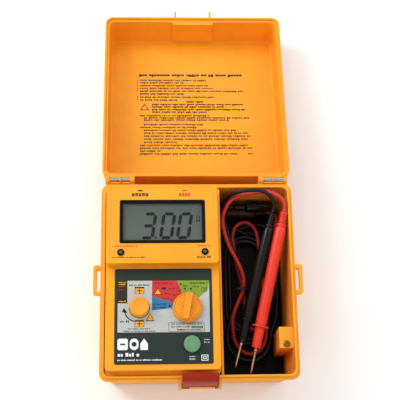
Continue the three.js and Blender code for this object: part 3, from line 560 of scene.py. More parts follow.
RED_END = [
    (59, 30, 14.2), (62.5, 39, 14.8), (65.4, 47, 17), (69.2, 54, 18.6), (72.4, 59.5, 18.9),
    (73.3, 64.5, 18.8), (71.4, 69.2, 18.4), (67.4, 71.4, 18.1), (64.5, 71.5, 18),
]
BLACK_END = [
    (38, 57.5, 10), (31, 58.5, 11.6), (25.5, 61.5, 15), (23.2, 66, 20), (24, 70.5, 25),
    (28, 72.7, 28.6), (33.8, 72.7, 29.6),
]
HANK_CENTRE = (44, 6)
TURN_R = 20
TURN_PITCH = 3.6


def hank_turns(half_run, z, turns, from_rear):
    """The wound turns of a lead: two straight runs and round ends, each turn inside the last."""
    cx, cy = HANK_CENTRE
    points = []
    for k in range(int(turns * 4)):
        quarter = ((1 if from_rear else 3) + k) % 4
        for i in range(10):
            t = i / 10
            r = TURN_R - TURN_PITCH * (k + t) / 4
            a = math.radians(90 * quarter + 90 * t)
            end_y = cy + half_run if quarter in (0, 1) else cy - half_run
            points.append((cx + r * math.cos(a), end_y + r * math.sin(a), z))
    return points


def smooth_path(points, step=1.2):
    """Points along a centripetal Catmull-Rom curve through the given ones, about step apart."""
    p = [Vector(q) for q in points]
    p = [p[0] * 2 - p[1]] + p + [p[-1] * 2 - p[-2]]
    out = [p[1].copy()]

    def mixed(a, b, low, high, t):
        return a * ((high - t) / (high - low)) + b * ((t - low) / (high - low))

    for a, b, c, d in zip(p, p[1:], p[2:], p[3:]):
        t0 = 0.0
        t1, t2, t3 = accumulate(max(v.length, 1e-6) ** 0.5 for v in (b - a, c - b, d - c))
        count = max(1, round((c - b).length / step))
        for i in range(1, count + 1):
            t = t1 + (t2 - t1) * i / count
            bc = mixed(b, c, t1, t2, t)
            abc = mixed(mixed(a, b, t0, t1, t), bc, t0, t2, t)
            bcd = mixed(bc, mixed(c, d, t2, t3, t), t1, t3, t)
            out.append(mixed(abc, bcd, t1, t2, t))
    return out


def lead(name, points, material):
    """A lead as one open curve, and its length in metres."""
    path = in_row(smooth_path(points))
    data = bpy.data.curves.new(name, "CURVE")
    data.dimensions = "3D"
    data.bevel_depth = LEAD_R * MM
    data.bevel_resolution = 4
    data.use_fill_caps = True
    spline = data.splines.new("POLY")
    spline.points.add(len(path) - 1)
    for point, place in zip(spline.points, path):
        point.co = (*place, 1)
    data.materials.append(material)
    return placed(name, data), sum((b - a).length for a, b in zip(path, path[1:]))


# the turns lose a few points where they run into the visible stretch and the end
red_turns = hank_turns(half_run=26, z=10.0, turns=2.25, from_rear=False)[6:]
black_turns = hank_turns(half_run=34, z=6.1, turns=2, from_rear=True)[5:-4]
red_wire, red_length = lead("red_lead_wire", RED_ROUTE + red_turns + RED_END, lead_red)
black_wire, black_length = lead("black_lead_wire", BLACK_ROUTE + black_turns + BLACK_END, lead_black)

# a probe runs from tail to end; its guard and the end of its sleeve count from the tail
RED_AXIS = {"tail": (75.1, 58.7, 57), "end": (43.6, -76.4, 33), "guard": 100.5, "sleeve": 119.2}
BLACK_AXIS = {"tail": (65.5, 58.8, 54), "end": (30.9, -71.1, 30), "guard": 94.8, "sleeve": 114.3}
PROBE_R = 4.9
FACETS = 10
FACET_START = 16


def probe(name, axis, guard_r, material, node):
    """A probe handle: ribbed bend relief, collar, faceted grip, thin guard disc and tapered sleeve."""
    g, end = axis["guard"], axis["sleeve"]
    profile = [(0.3, 0), (2.3, 0), (2.7, 0.4)]
    for k in range(5):
        s = 1.1 + k * 1.9
        profile += [
            (3.1, s), (3.25, s + 0.25), (3.25, s + 0.85), (3.1, s + 1.1), (2.45, s + 1.25), (2.45, s + 1.75),
        ]
    profile += [
        (4.0, 10.9), (4.15, 11.2), (4.15, 12.4), (4.0, 12.7), (3.5, 12.9), (3.5, 13.7), (4.2, 14.0),
        (4.45, 14.6), (4.75, 18), *[(PROBE_R, height) for height in (22, 30, 45, 60, 75, 88, g - 4)],
        (4.7, g - 2.2), (4.6, g - 0.9), (guard_r - 0.5, g - 0.72),
        (guard_r - 0.1, g - 0.5), (guard_r, g), (guard_r - 0.1, g + 0.5), (guard_r - 0.5, g + 0.72),
        (4.3, g + 0.9), (4.25, g + 1.4), (4.05, end - 4), (3.95, end - 1.2), (3.6, end - 0.4),
        (2.8, end - 0.02), (0.3, end),
    ]

    def facet(angle, height):
        if not FACET_START < height < g - 2:
            return 1.0
        share = min(1, (height - FACET_START) / 8, (g - 2 - height) / 5)
        sector = 2 * math.pi / FACETS
        flat = math.cos(sector / 2) / math.cos((angle % sector) - sector / 2)
        return 1 - share * 0.75 * (1 - flat)

    turned(name, profile, along(axis["tail"], axis["end"]), 80, "lead_set", material, node, 40, facet)


probe("red_probe_handle", RED_AXIS, 7.2, probe_red, "red_probe")
probe("black_probe_handle", BLACK_AXIS, 5.9, probe_black, "black_probe")


def probe_tip(name, axis, node):
    """A pointed tip with two rings next to the sleeve."""
    start = axis["sleeve"] + 0.3
    length = (Vector(axis["end"]) - Vector(axis["tail"])).length
    turned(name, [
        (0.2, start), (1.45, start), (1.6, start + 0.15), (1.6, start + 0.8), (1.35, start + 0.95),
        (1.35, start + 1.25), (1.6, start + 1.4), (1.6, start + 2.3), (1.4, start + 2.6), (1.0, start + 2.9),
        (1.0, length - 4), (0.95, length - 2.6), (0.62, length - 0.9), (0.3, length - 0.1), (0.08, length),
    ], along(axis["tail"], axis["end"]), 32, "lead_set", brass, node)


probe_tip("red_tip", RED_AXIS, "red_probe_tip")
probe_tip("black_tip", BLACK_AXIS, "black_probe_tip")


def plug(colour, boot_x, way, y, z, material):
    """A shrouded 4 mm plug: ribbed relief, grip with cross ribs, and a hollow mouth round its pin."""
    axis = along((boot_x, y, z), (boot_x + way, y, z))
    profile = [(1.75, 0), (2.4, 0), (2.6, 0.3)]
    for k in range(4):
        s = 1.0 + k * 2.1
        r = 2.9 + 0.15 * k
        profile += [(r, s), (r + 0.1, s + 0.9), (r - 0.5, s + 1.1), (r - 0.5, s + 1.9)]
    profile += [(3.7, 10.2), (4.9, 11.6), (5.2, 12.2)]
    for k in range(5):
        s = 13.2 + k * 2
        profile += [(5.2, s), (4.85, s + 0.3), (4.85, s + 0.9), (5.2, s + 1.2)]
    profile += [
        (5.2, 23.7), (5.0, 24.2), (4.45, 25), (4.4, 35.4), (4.2, 35.9), (3.7, 36), (3.45, 35.8),
        (3.4, 35.2), (3.4, 20.1), (0.3, 20),
    ]

    def slots(angle, height):
        return 0.9 if 23 < height < 32.5 and abs(math.sin(2 * angle)) < 0.16 else 1.0

    return [
        turned(f"{colour}_plug_body", profile, axis, 48, "lead_set", material, f"{colour}_plug", 38),
        turned(f"{colour}_pin", [
            (0.3, 20.3), (1.9, 20.3), (2, 20.5), (2, 22), (2.1, 25), (2.15, 28), (2.1, 31), (2, 33.2),
            (1.6, 34.4), (1.2, 34.9), (0.3, 35),
        ], axis, 32, "lead_set", steel, f"{colour}_plug_pin", wave=slots),
    ]


red_plug = plug("red", 64.2, -1, 71.5, 18, plug_red)
black_plug = plug("black", 34.1, 1, 72.7, 29.6, probe_black)


def lead_tie():
    """A flat tie band round the lead bundle, with its small lock."""
    bm = bmesh.new()
    cx, cz = 39, 21.2
    outer = rounded((cx - 6, cx + 6), (cz - 8.3, cz + 8.3), 4.2, 0, 7)
    inner = rounded((cx - 5.1, cx + 5.1), (cz - 7.5, cz + 7.5), 3.4, 0, 7)

    def ring(points, y):
        return [Vector((p.x, y, p.y)) for p in points]

    def between(share):
        return [a.lerp(b, share) for a, b in zip(outer, inner)]

    y0, y1 = -3.2, -0.7
    loft(bm, [
        ring(outer, y0 + 0.3), ring(outer, y1 - 0.3), ring(between(0.3), y1), ring(between(0.7), y1),
        ring(inner, y1 - 0.3), ring(inner, y0 + 0.3), ring(between(0.7), y0), ring(between(0.3), y0),
    ], closed=True)
    slab(bm, (cx - 2.2, cx + 2.2), (y0 - 0.2, y1 + 0.2), (cz + 7.6, cz + 9.4), 0.8, 0.4)
    return piece("lead_tie_band", bm, "lead_set", tie_black, "lead_tie")


for colour, wire, route, length, parts in (
    ("red", red_wire, RED_ROUTE, red_length, [*red_plug, lead_tie()]),
    ("black", black_wire, BLACK_ROUTE, black_length, black_plug),
):
    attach(wire, "lead_set")
    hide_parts(f"{colour}_lead", f"{colour}_lead_end", f"{colour}_lead_hank")


# -------- case
HALF_X = 82.5
HALF_Y = 85.0
# the walls' sections: inset from the rim, height, edge rounding, corner radius
BASE_PROFILE = [
    (12, 1.5, 0, 7), (5.4, 1.5, 2.2, 7), (1.6, 52, 0.4, 7), (0, 52, 0.6, 7), (0, 56, 1.0, 7),
    (2.2, 56, 0.3, 6), (2.2, 58, 0.5, 6), (4.0, 58, 0.5, 5), (4.0, 55.9, 0.2, 5), (7.9, 4, 2.2, 5),
    (12, 4, 0, 5),
]
LID_PROFILE = [
    (12, 92, 0, 7), (3, 92, 2.6, 7), (0, 56.3, 1.0, 7), (1.9, 56.3, 0.3, 6), (1.9, 58.6, 0.2, 6),
    (4.2, 58.6, 0.7, 5), (4.7, 90, 2.2, 5), (12, 90, 0, 5),
]
SCREW_AT = [(-70, -71), (9.5, -71), (-70, 71), (9.5, 71)]
FOOT_AT = [(-66, -60), (66, -66), (-66, 60), (66, 66)]
DOOR_X, DOOR_Y, TAB_X, TAB_END = (-54.5, -9.5), (-54, 54), (-39, -25), 64
DOOR_SCREW_AT = (-32, 59)
LATCH_PIVOT = (-87.6, 44.0)  # y and height
KNUCKLE_R = 2.6
BARREL_X = (-8, 12)
BLOCK_SCREW_AT = (72.6, -55.2)
SCREW_TURN = 0.5


def shell(profile):
    """The wall of the case or lid: one section swept round the rounded rectangle of its rim."""
    bm = bmesh.new()
    rings = []
    for d, z in eased([p[:3] for p in profile], 4):
        nearest = min(profile, key=lambda p: abs(p[0] - d) + abs(p[1] - z))
        xs, ys = (-HALF_X + d, HALF_X - d), (-HALF_Y + d, HALF_Y - d)
        rings.append(rounded(xs, ys, nearest[3], z, 8))
    loft(bm, rings)
    return bm


def add_box(bm, xs, ys, zs):
    (x0, x1), (y0, y1) = xs, ys
    loft(bm, [[Vector((x, y, z)) for x, y in ((x0, y0), (x1, y0), (x1, y1), (x0, y1))] for z in zs])


def both_sides(bm, outline, span, bevel):
    """The same prism on the right and on the left."""
    for xs in (span, (-span[1], -span[0])):
        prism(bm, outline, xs, "yz", bevel)


def base_case():
    """The base: walls, divider, corner block, strap loops, latch ears and barrel, hinge lugs."""
    fittings = bmesh.new()
    divider = [(-78.4, 3), (78.4, 3), (81.4, 55.6), (-81.4, 55.6)]
    prism(fittings, divider, (17.6, 19.6), "yz", 0.5)
    block = [(66.6, 3), (75.6, 3), (79.3, 52), (66.6, 52)]
    prism(fittings, block, (-58.6, -40.5), "xz", 0.9)
    for side in (1, -1):
        outer = tuple(sorted((79.8 * side, 88.5 * side)))
        inner = tuple(sorted((82.2 * side, 85.5 * side)))
        ring_frame(fittings, (outer, (-13, 12.5), 2.2), (inner, (-10.2, 8.7), 1.0), (50, 56), 0.7)
    y, z = LATCH_PIVOT
    ear = [(-82, 55), (-86.8, 55), (y - 3.5, z + 4)] + arc(y, z, 3.6, 180, 288) + [(-81.2, z - 8)]
    both_sides(fittings, ear, (15.4, 17.6), 0.45)
    lug = [(82.5, 47), (85, 47)] + arc(HINGE.y, HINGE.z, 3.5, -60, 162, 12) + [(85.3, 55.8), (82.5, 55.8)]
    for span in ((54, 58), (76, 79)):
        both_sides(fittings, lug, span, 0.35)
    barrel = arc(y, z, KNUCKLE_R, 130, 310, 12) + [(-81.8, z - 2), (-81.8, z + 2)]
    prism(fittings, barrel, BARREL_X, "yz", 0.3)
    body = combine(shell(BASE_PROFILE), fittings, "UNION")
    cuts = bmesh.new()
    for at in FOOT_AT:
        lathe(cuts, [(5.3, 0), (5.3, 2.5)], upright_at(at), 32)
    for at in SCREW_AT:
        lathe(cuts, [(3.4, 0), (3.4, 3.2)], upright_at(at), 24)
    add_box(cuts, DOOR_X, DOOR_Y, (0, 4.2))
    add_box(cuts, TAB_X, (DOOR_Y[1] - 1, TAB_END), (0, 3.9))
    lathe(cuts, [(1.7, 45), (1.7, 53)], upright_at(BLOCK_SCREW_AT), 20)
    body = combine(body, cuts, "DIFFERENCE")

    def is_inside(at, facing):
        """Whether a face belongs to the case's inside, and not to its corner block or outside."""
        on_block = 66 < at.x < 78 and -59 < at.y < -40 and at.z > 30
        within = 3.8 < at.z < 55.2 and abs(at.x) < 78.5 and abs(at.y) < 81
        outer_corner = abs(at.x) > 60 and abs(at.y) > 60 and facing.x * at.x + facing.y * at.y > 0
        return within and not on_block and not outer_corner

    body.normal_update()
    # the inside faces take the material with painted shade, the rest plain orange
    for face in body.faces:
        face.material_index = int(is_inside(face.calc_center_median(), face.normal))
    piece("base_case", body, "base", [orange, inside], "base_shell")


base_case()


def lid_case():
    """The lid: walls, latch pocket, hinge clips and two ears beside the latch."""
    fittings = bmesh.new()
    pad = [(-19.3, 59.2), (19.3, 59.2), (19.3, 85.5), (-19.3, 85.5)]
    prism(fittings, pad, (-81.9, -78.2), "xz", 0.9)
    clip = [(83.4, 56.35), (86.6, 56.35)] + arc(HINGE.y, HINGE.z, 2.3, 171, -14, 12)
    clip += arc(HINGE.y, HINGE.z, 3.5, -14, 75, 8) + [(83.4, 67)]
    both_sides(fittings, clip, (58.4, 75.6), 0.25)
    both_sides(fittings, arc(HINGE.y, HINGE.z, 3.45, 0, 345, 23), (66.1, 66.9), 0)
    ear = [(-92, 56.8), (-83.4, 56.8), (-83.4, 61.8), (-91.2, 61.8), (-92, 60.9)]
    both_sides(fittings, ear, (15.5, 17.3), 0.45)
    body = combine(shell(LID_PROFILE), fittings, "UNION")
    pocket = bmesh.new()
    add_box(pocket, (-17.3, 17.3), (-87, -80), (62, 83.5))
    body = combine(body, pocket, "DIFFERENCE")
    piece("lid_case", body, "lid", orange, "lid_shell", LID)


lid_case()


for node, r, (x0, x1), at in (
    ("hinge_pin_left", 2, (-78.6, -54.4), (HINGE.y, HINGE.z)),
    ("hinge_pin_right", 2, (54.4, 78.6), (HINGE.y, HINGE.z)),
    ("latch_pin", 1.5, (-17.9, 17.9), LATCH_PIVOT),
):
    edge, long = 0.25, x1 - x0
    bar = [(r - edge, 0), (r, edge), (r, long - edge), (r - edge, long)]
    turned(node + "_bar", bar, along((x0, *at), (x1, *at)), 40, "base", pin_steel, node)

for number, at in enumerate(FOOT_AT, 1):
    pad = [(3.4, 0), (4.1, 0.15), (4.5, 0.6), (4.95, 2.0), (4.8, 2.2)]
    turned(f"foot_{number}_pad", pad, upright_at(at), 40, "base", rubber, f"foot_{number}")


def battery_door():
    """The door under the base, with its tab, grip grooves and screw hole."""
    bm = bmesh.new()
    c = 0.3  # clearance all round
    slab(bm, (DOOR_X[0] + c, DOOR_X[1] - c), (DOOR_Y[0] + c, DOOR_Y[1] - c), (1.5, 3.7), 0.8, 0.2, 0.4)
    slab(bm, (TAB_X[0] + c, TAB_X[1] - c), (DOOR_Y[1] - 2, TAB_END - c), (1.5, 3.4), 0.8, 0.2, 0.4)
    cuts = bmesh.new()
    for k in range(7):
        y = -44 + 3.2 * k
        add_box(cuts, (-46, -18), (y, y + 1.4), (0, 1.9))
    lathe(cuts, [(3.2, 0), (3.2, 2.6)], upright_at(DOOR_SCREW_AT), 28)
    door = combine(bm, cuts, "DIFFERENCE")
    piece("battery_door", door, "base", orange, "battery_cover")


battery_door()


def cross_screw(name, node, at, z, r, height, downwards=True):
    """A pan-head screw with a cross recess."""
    bm = bmesh.new()
    lathe(bm, [(0.4, -3), (1.3, -3), (1.3, 0), (r, 0), (r, height * 0.45), (r * 0.86, height * 0.8),
               (r * 0.6, height), (0.4, height * 1.02)], None, 36)
    cuts = bmesh.new()
    for xs, ys in (((-0.34, 0.34), (-r * 0.6, r * 0.6)), ((-r * 0.6, r * 0.6), (-0.34, 0.34))):
        add_box(cuts, xs, ys, (height * 0.35, height + 1))
    flip = Matrix.Rotation(math.pi if downwards else 0, 4, "X") @ Matrix.Rotation(SCREW_TURN, 4, "Z")
    piece(name, combine(bm, cuts, "DIFFERENCE"), "base", screw_steel, node,
          ROW @ upright_at(at, z) @ flip, weighted=False)


cross_screw("compartment_screw_head", "compartment_screw", BLOCK_SCREW_AT, 52.3, 2.8, 1.5, False)
cross_screw("door_screw_head", "battery_cover_screw", DOOR_SCREW_AT, 2.6, 2.9, 1.0)
for number, at in enumerate(SCREW_AT, 1):
    cross_screw(f"housing_screw_{number}_head", f"housing_screw_{number}", at, 3.4, 3.0, 1.4)


# -------- latch
def latch():
    """The red lever: two knuckles either side of the barrel, a plate, and a hook over the rim."""
    y, z = LATCH_PIVOT
    outline = arc(y, z, KNUCKLE_R, -180, 18, 10)
    outline += [(-85.7, z + 7), (-85.5, 62.4), (-80.9, 62.4), (-80.5, 65.4), (-81.6, 66.4), (-83.5, 66.6)]
    outline += [(-85.4, 65.7), (-86.7, 64), (-87.6, 61.2), (-88.2, 58), (-88.6, 52)]
    outline += [(-88.7, z + 5), (-89.4, z + 2)]
    bm = bmesh.new()
    prism(bm, outline, (-15, 15), "yz", 0.5, 3)
    cuts = bmesh.new()
    add_box(cuts, (BARREL_X[0] - 0.4, BARREL_X[1] + 0.4), (y - 5, y + 5), (z - 4, z + 3.1))
    lever = combine(bm, cuts, "DIFFERENCE")
    piece("latch_lever", lever, "latch", latch_red, "latch")


latch()


# -------- meter module
DECK_Z, DISPLAY_Z = 64.0, 74.0
FIELD_Z = DISPLAY_Z - 0.35
LABEL_Z = 64.5
KNOB_AT, TEST_AT, POWER_AT = (-10.1, -26.9), (-49.5, -26.5), (-6.6, -56.9)
LED_AT = [(-64.9, 18.5), (5, 18.8)]
JACK_X, JACK_Z, REAR_Y = (-49, -11.5), 66.0, 78.7
KNOB_HOLE, TEST_HOLE, POWER_HOLE, LED_HOLE = 4.5, 8.5, 7.2, 2.8
KNOB_ANGLE = 80


def meter_case():
    """The module's housing: a deck with the raised display part, a flange, and its recesses and holes."""
    deck, display = bmesh.new(), bmesh.new()
    slab(deck, (-77.8, 17.2), (-77.8, REAR_Y), (51, DECK_Z), 3.6, 1.3, 0.3, 8, 0.25)
    slab(display, (-77.6, 16.8), (8.8, REAR_Y), (58, DISPLAY_Z), 3.2, 1.1, 0.1, 8, 0.35)
    body = combine(deck, display, "UNION")
    flange = bmesh.new()
    slab(flange, (-77.95, 17.3), (-80.45, 80.45), (52.6, 55.6), 4, 0.5, 0.2, 8)
    body = combine(body, flange, "UNION")
    cuts = bmesh.new()
    slab(cuts, (-75.6, 15.0), (-75.6, 76.5), (50, 61.8), 1.5, 0.01)
    slab(cuts, (-75.4, 14.6), (11.2, 76.5), (50, 71.6), 1.5, 0.01)
    body = combine(body, cuts, "DIFFERENCE")
    cuts = bmesh.new()
    slab(cuts, (-74, 13.4), (11.4, 76.2), (FIELD_Z, DISPLAY_Z + 1), 2.4, 0.01, 0.15)
    slab(cuts, (-66.1, 5.8), (26.3, 64.5), (72.6, DISPLAY_Z + 1), 1.6, 0.01)
    add_box(cuts, (-63.4, 3.1), (29, 61.8), (68, DISPLAY_Z + 1))
    slab(cuts, (-70.1, 10.8), (-73, 6.8), (63.4, DECK_Z + 1), 1.5, 0.01)
    controls = [(KNOB_AT, KNOB_HOLE), (TEST_AT, TEST_HOLE), (POWER_AT, POWER_HOLE)]
    for at, r in controls + [(at, LED_HOLE) for at in LED_AT]:
        lathe(cuts, [(r, 58), (r, DISPLAY_Z + 2)], upright_at(at), 40)
    for x in JACK_X:
        hole = along((x, 72, JACK_Z), (x, 90, JACK_Z))
        lathe(cuts, [(4.5, 0), (4.5, 5.8), (5.8, 5.81), (5.8, 10)], hole, 40)
    body = combine(body, cuts, "DIFFERENCE")
    for face in body.faces:
        at = face.calc_center_median()
        in_window = -66.2 < at.x < 5.9 and 26.2 < at.y < 64.6 and 68 < at.z < FIELD_Z - 0.2
        face.material_index = int(in_window)
    piece("meter_case", body, "base", [orange, bezel_black], "meter_housing")


meter_case()

bm = bmesh.new()
ring_frame(bm, ((-65.8, 5.5), (26.6, 64.2), 1.5), ((-63.4, 3.1), (29, 61.8), 0.8), (72.9, 74.2), 0.25)
piece("display_frame", bm, "base", bezel_black, "display_bezel")
bm = bmesh.new()
slab(bm, (-63.1, 2.8), (29.3, 61.5), (73.0, 73.9), 0.6, 0.12)
piece("display_pane", bm, "base", window_clear, "display_window")
bm = bmesh.new()
slab(bm, (-65, 4.7), (27.5, 63.5), (66, 71.5), 0.6, 0.3)
piece("lcd_cell", bm, "base", lcd, "lcd_module")

for name, at in zip(("live_led", "power_led"), LED_AT):
    bm = bmesh.new()
    lathe(bm, [
        (2.4, 69), (2.5, 69.2), (2.5, FIELD_Z), (2.9, FIELD_Z + 0.05), (2.95, 74.3), (2.7, 74.9),
        (2.2, 75.0), (1.75, 74.7), (1.65, 74.3), (1.5, 74.4), (1.3, 75.1), (0.8, 75.5), (0.2, 75.6),
    ], upright_at(at), 40)
    for face in bm.faces:
        middle = face.calc_center_median()
        face.material_index = int(middle.z > 74.2 and (middle.xy - Vector(at)).length < 1.72)
    piece(name + "_lamp", bm, "base", [bezel_black, led_lens], name, weighted=False)

for name, x, material, slot in (
    ("earth_jack", JACK_X[0], black, "black_plastic"), ("line_jack", JACK_X[1], jack_red, "red_plastic"),
):
    turned(name + "_socket", [
        (4.2, 64), (4.2, 78.1), (5.2, 78.1), (5.5, 78.3), (5.5, 78.9), (5.2, 79.25),
        (3.0, 79.3), (2.4, 79.1), (2.2, 78.7), (2.2, 66), (0.2, 66),
    ], along((x, 0, JACK_Z), (x, 1, JACK_Z)), 44, "base", material, name, 38)


# -------- controls
def function_knob():
    """The switch knob: a skirt with fine flutes and a ring groove, and a bar grip with its pointer line."""
    def flutes(angle, height):
        return 1 - 0.012 * (abs(math.sin(20 * angle)) < 0.35) if 65.2 < height < 69 else 1

    bm = bmesh.new()
    lathe(bm, [
        (3.3, 64.9), (11.9, 64.9), (12.3, 65.3), (12.3, 66.2), (12.15, 67.8), (11.7, 69.0), (11.2, 69.4),
        (10.9, 69.4), (10.7, 68.9), (10.3, 68.9), (10.1, 69.5), (9.0, 69.62), (4, 69.65), (0.3, 69.65),
    ], None, 96, flutes)
    grip = bmesh.new()
    slab(grip, (-11.7, 11.7), (-3.3, 3.3), (66, 76), 2.2, 1.0, 0.05, 6, 0.55)
    body = combine(bm, grip, "UNION")
    cuts = bmesh.new()
    add_box(cuts, (5.5, 12.5), (-0.45, 0.45), (75.6, 77))
    lathe(cuts, [(3.3, 60), (3.3, 72.3)], None, 24)
    body = combine(body, cuts, "DIFFERENCE")
    spin = upright_at(KNOB_AT) @ Matrix.Rotation(math.radians(KNOB_ANGLE), 4, "Z")
    piece("knob_grip", body, "knob", knob_orange, "function_knob", ROW @ spin)


function_knob()


turned("test_cap", [
    (2.9, 68), (2.9, 59), (8.1, 59), (8.15, 59.2), (8.15, 69.8), (8.0, 70.9), (7.5, 71.7), (6.8, 72),
    (6.2, 71.9), (5, 71.6), (3, 71.3), (0.3, 71.2),
], upright_at(TEST_AT), 72, "test_cap", knob_orange, "test_button")
turned("power_cap", [
    (2.5, 49.2), (2.5, 60), (6.8, 60), (6.85, 60.2), (6.85, 66.7), (6.6, 67.4), (5.9, 67.85), (4.5, 68),
    (0.3, 68),
], upright_at(POWER_AT), 72, "power_cap", green, "power_button")


# -------- printed marks
ROOT = 0.08  # how far a mark reaches into its surface
LAYER = 0.03
FILM_LAYERS = 24
WEIGHT = 0.62  # width of a block in a row of plain weight


def corners(x0, y0, x1, y1):
    return [(x0, y0), (x1, y0), (x1, y1), (x0, y1)]


class Print:
    """Flat marks on a surface at height z, each level lying a little above the one below it."""

    def __init__(self, z, down=False):
        self.bm = bmesh.new()
        self.z, self.sign = z, -1 if down else 1
        self.inks = []

    def shape(self, outline, ink, level=1, holes=()):
        if ink not in self.inks:
            self.inks.append(ink)
        edges = []
        for loop in (outline, *holes):
            verts = [self.bm.verts.new((x, y, self.z - self.sign * ROOT)) for x, y in loop]
            edges += [self.bm.edges.new((a, b)) for a, b in zip(verts, verts[1:] + verts[:1])]
        filled = bmesh.ops.triangle_fill(self.bm, use_beauty=True, use_dissolve=False, edges=edges)["geom"]
        faces = [f for f in filled if isinstance(f, bmesh.types.BMFace)]
        top = bmesh.ops.extrude_face_region(self.bm, geom=faces)["geom"]
        raised = [v for v in top if isinstance(v, bmesh.types.BMVert)]
        bmesh.ops.translate(self.bm, vec=(0, 0, self.sign * (ROOT + LAYER * level)), verts=raised)
        index = self.inks.index(ink)
        touched = set(faces) | {f for f in top if isinstance(f, bmesh.types.BMFace)}
        for vert in {v for f in touched for v in f.verts}:
            for face in vert.link_faces:
                face.material_index = index

    def bar(self, x0, y0, x1, y1, ink, level=1):
        self.shape(corners(x0, y0, x1, y1), ink, level)

    def dot(self, x, y, r, ink, level=1):
        self.shape(circle(r, (x, y), 20), ink, level)

    def box_line(self, x0, y0, x1, y1, w, ink, level=1):
        """A box drawn with a line w wide."""
        self.shape(corners(x0, y0, x1, y1), ink, level, [corners(x0 + w, y0 + w, x1 - w, y1 - w)])

    def text_row(self, x0, x1, y, height, ink, level, seed, weight=WEIGHT):
        """A row of small blocks in word groups, standing for a line of small print."""
        draw = random.Random(seed)
        x = x0
        while x < x1 - height * 0.4:
            for _ in range(draw.randint(2, 8)):
                wide = height * draw.uniform(0.42, 0.7)
                tall = height * draw.choice((0.72, 0.72, 1.0))
                if x + wide > x1:
                    break
                self.bar(x, y, x + wide * weight / WEIGHT, y + tall, ink, level)
                x += wide + height * 0.3
            x += height * 0.55

    def finish(self, name, node=None, place=ROW, body="base"):
        piece(name, self.bm, body, self.inks, node, place, weighted=False)


plate = Print(LABEL_Z - FILM_LAYERS * LAYER)
holes = [circle(KNOB_HOLE, KNOB_AT), circle(TEST_HOLE, TEST_AT), circle(POWER_HOLE, POWER_AT)]
plate.shape(flat_rounded((-69.8, 10.5), (-72.7, 6.5), 1.3, 6), film, FILM_LAYERS, holes)
plate.finish("panel_film_plate", "front_plate")


def triangle(cx, cy, size):
    h = size * 0.87
    return [(cx - size / 2, cy - h / 2), (cx + size / 2, cy - h / 2), (cx, cy + h / 2)]


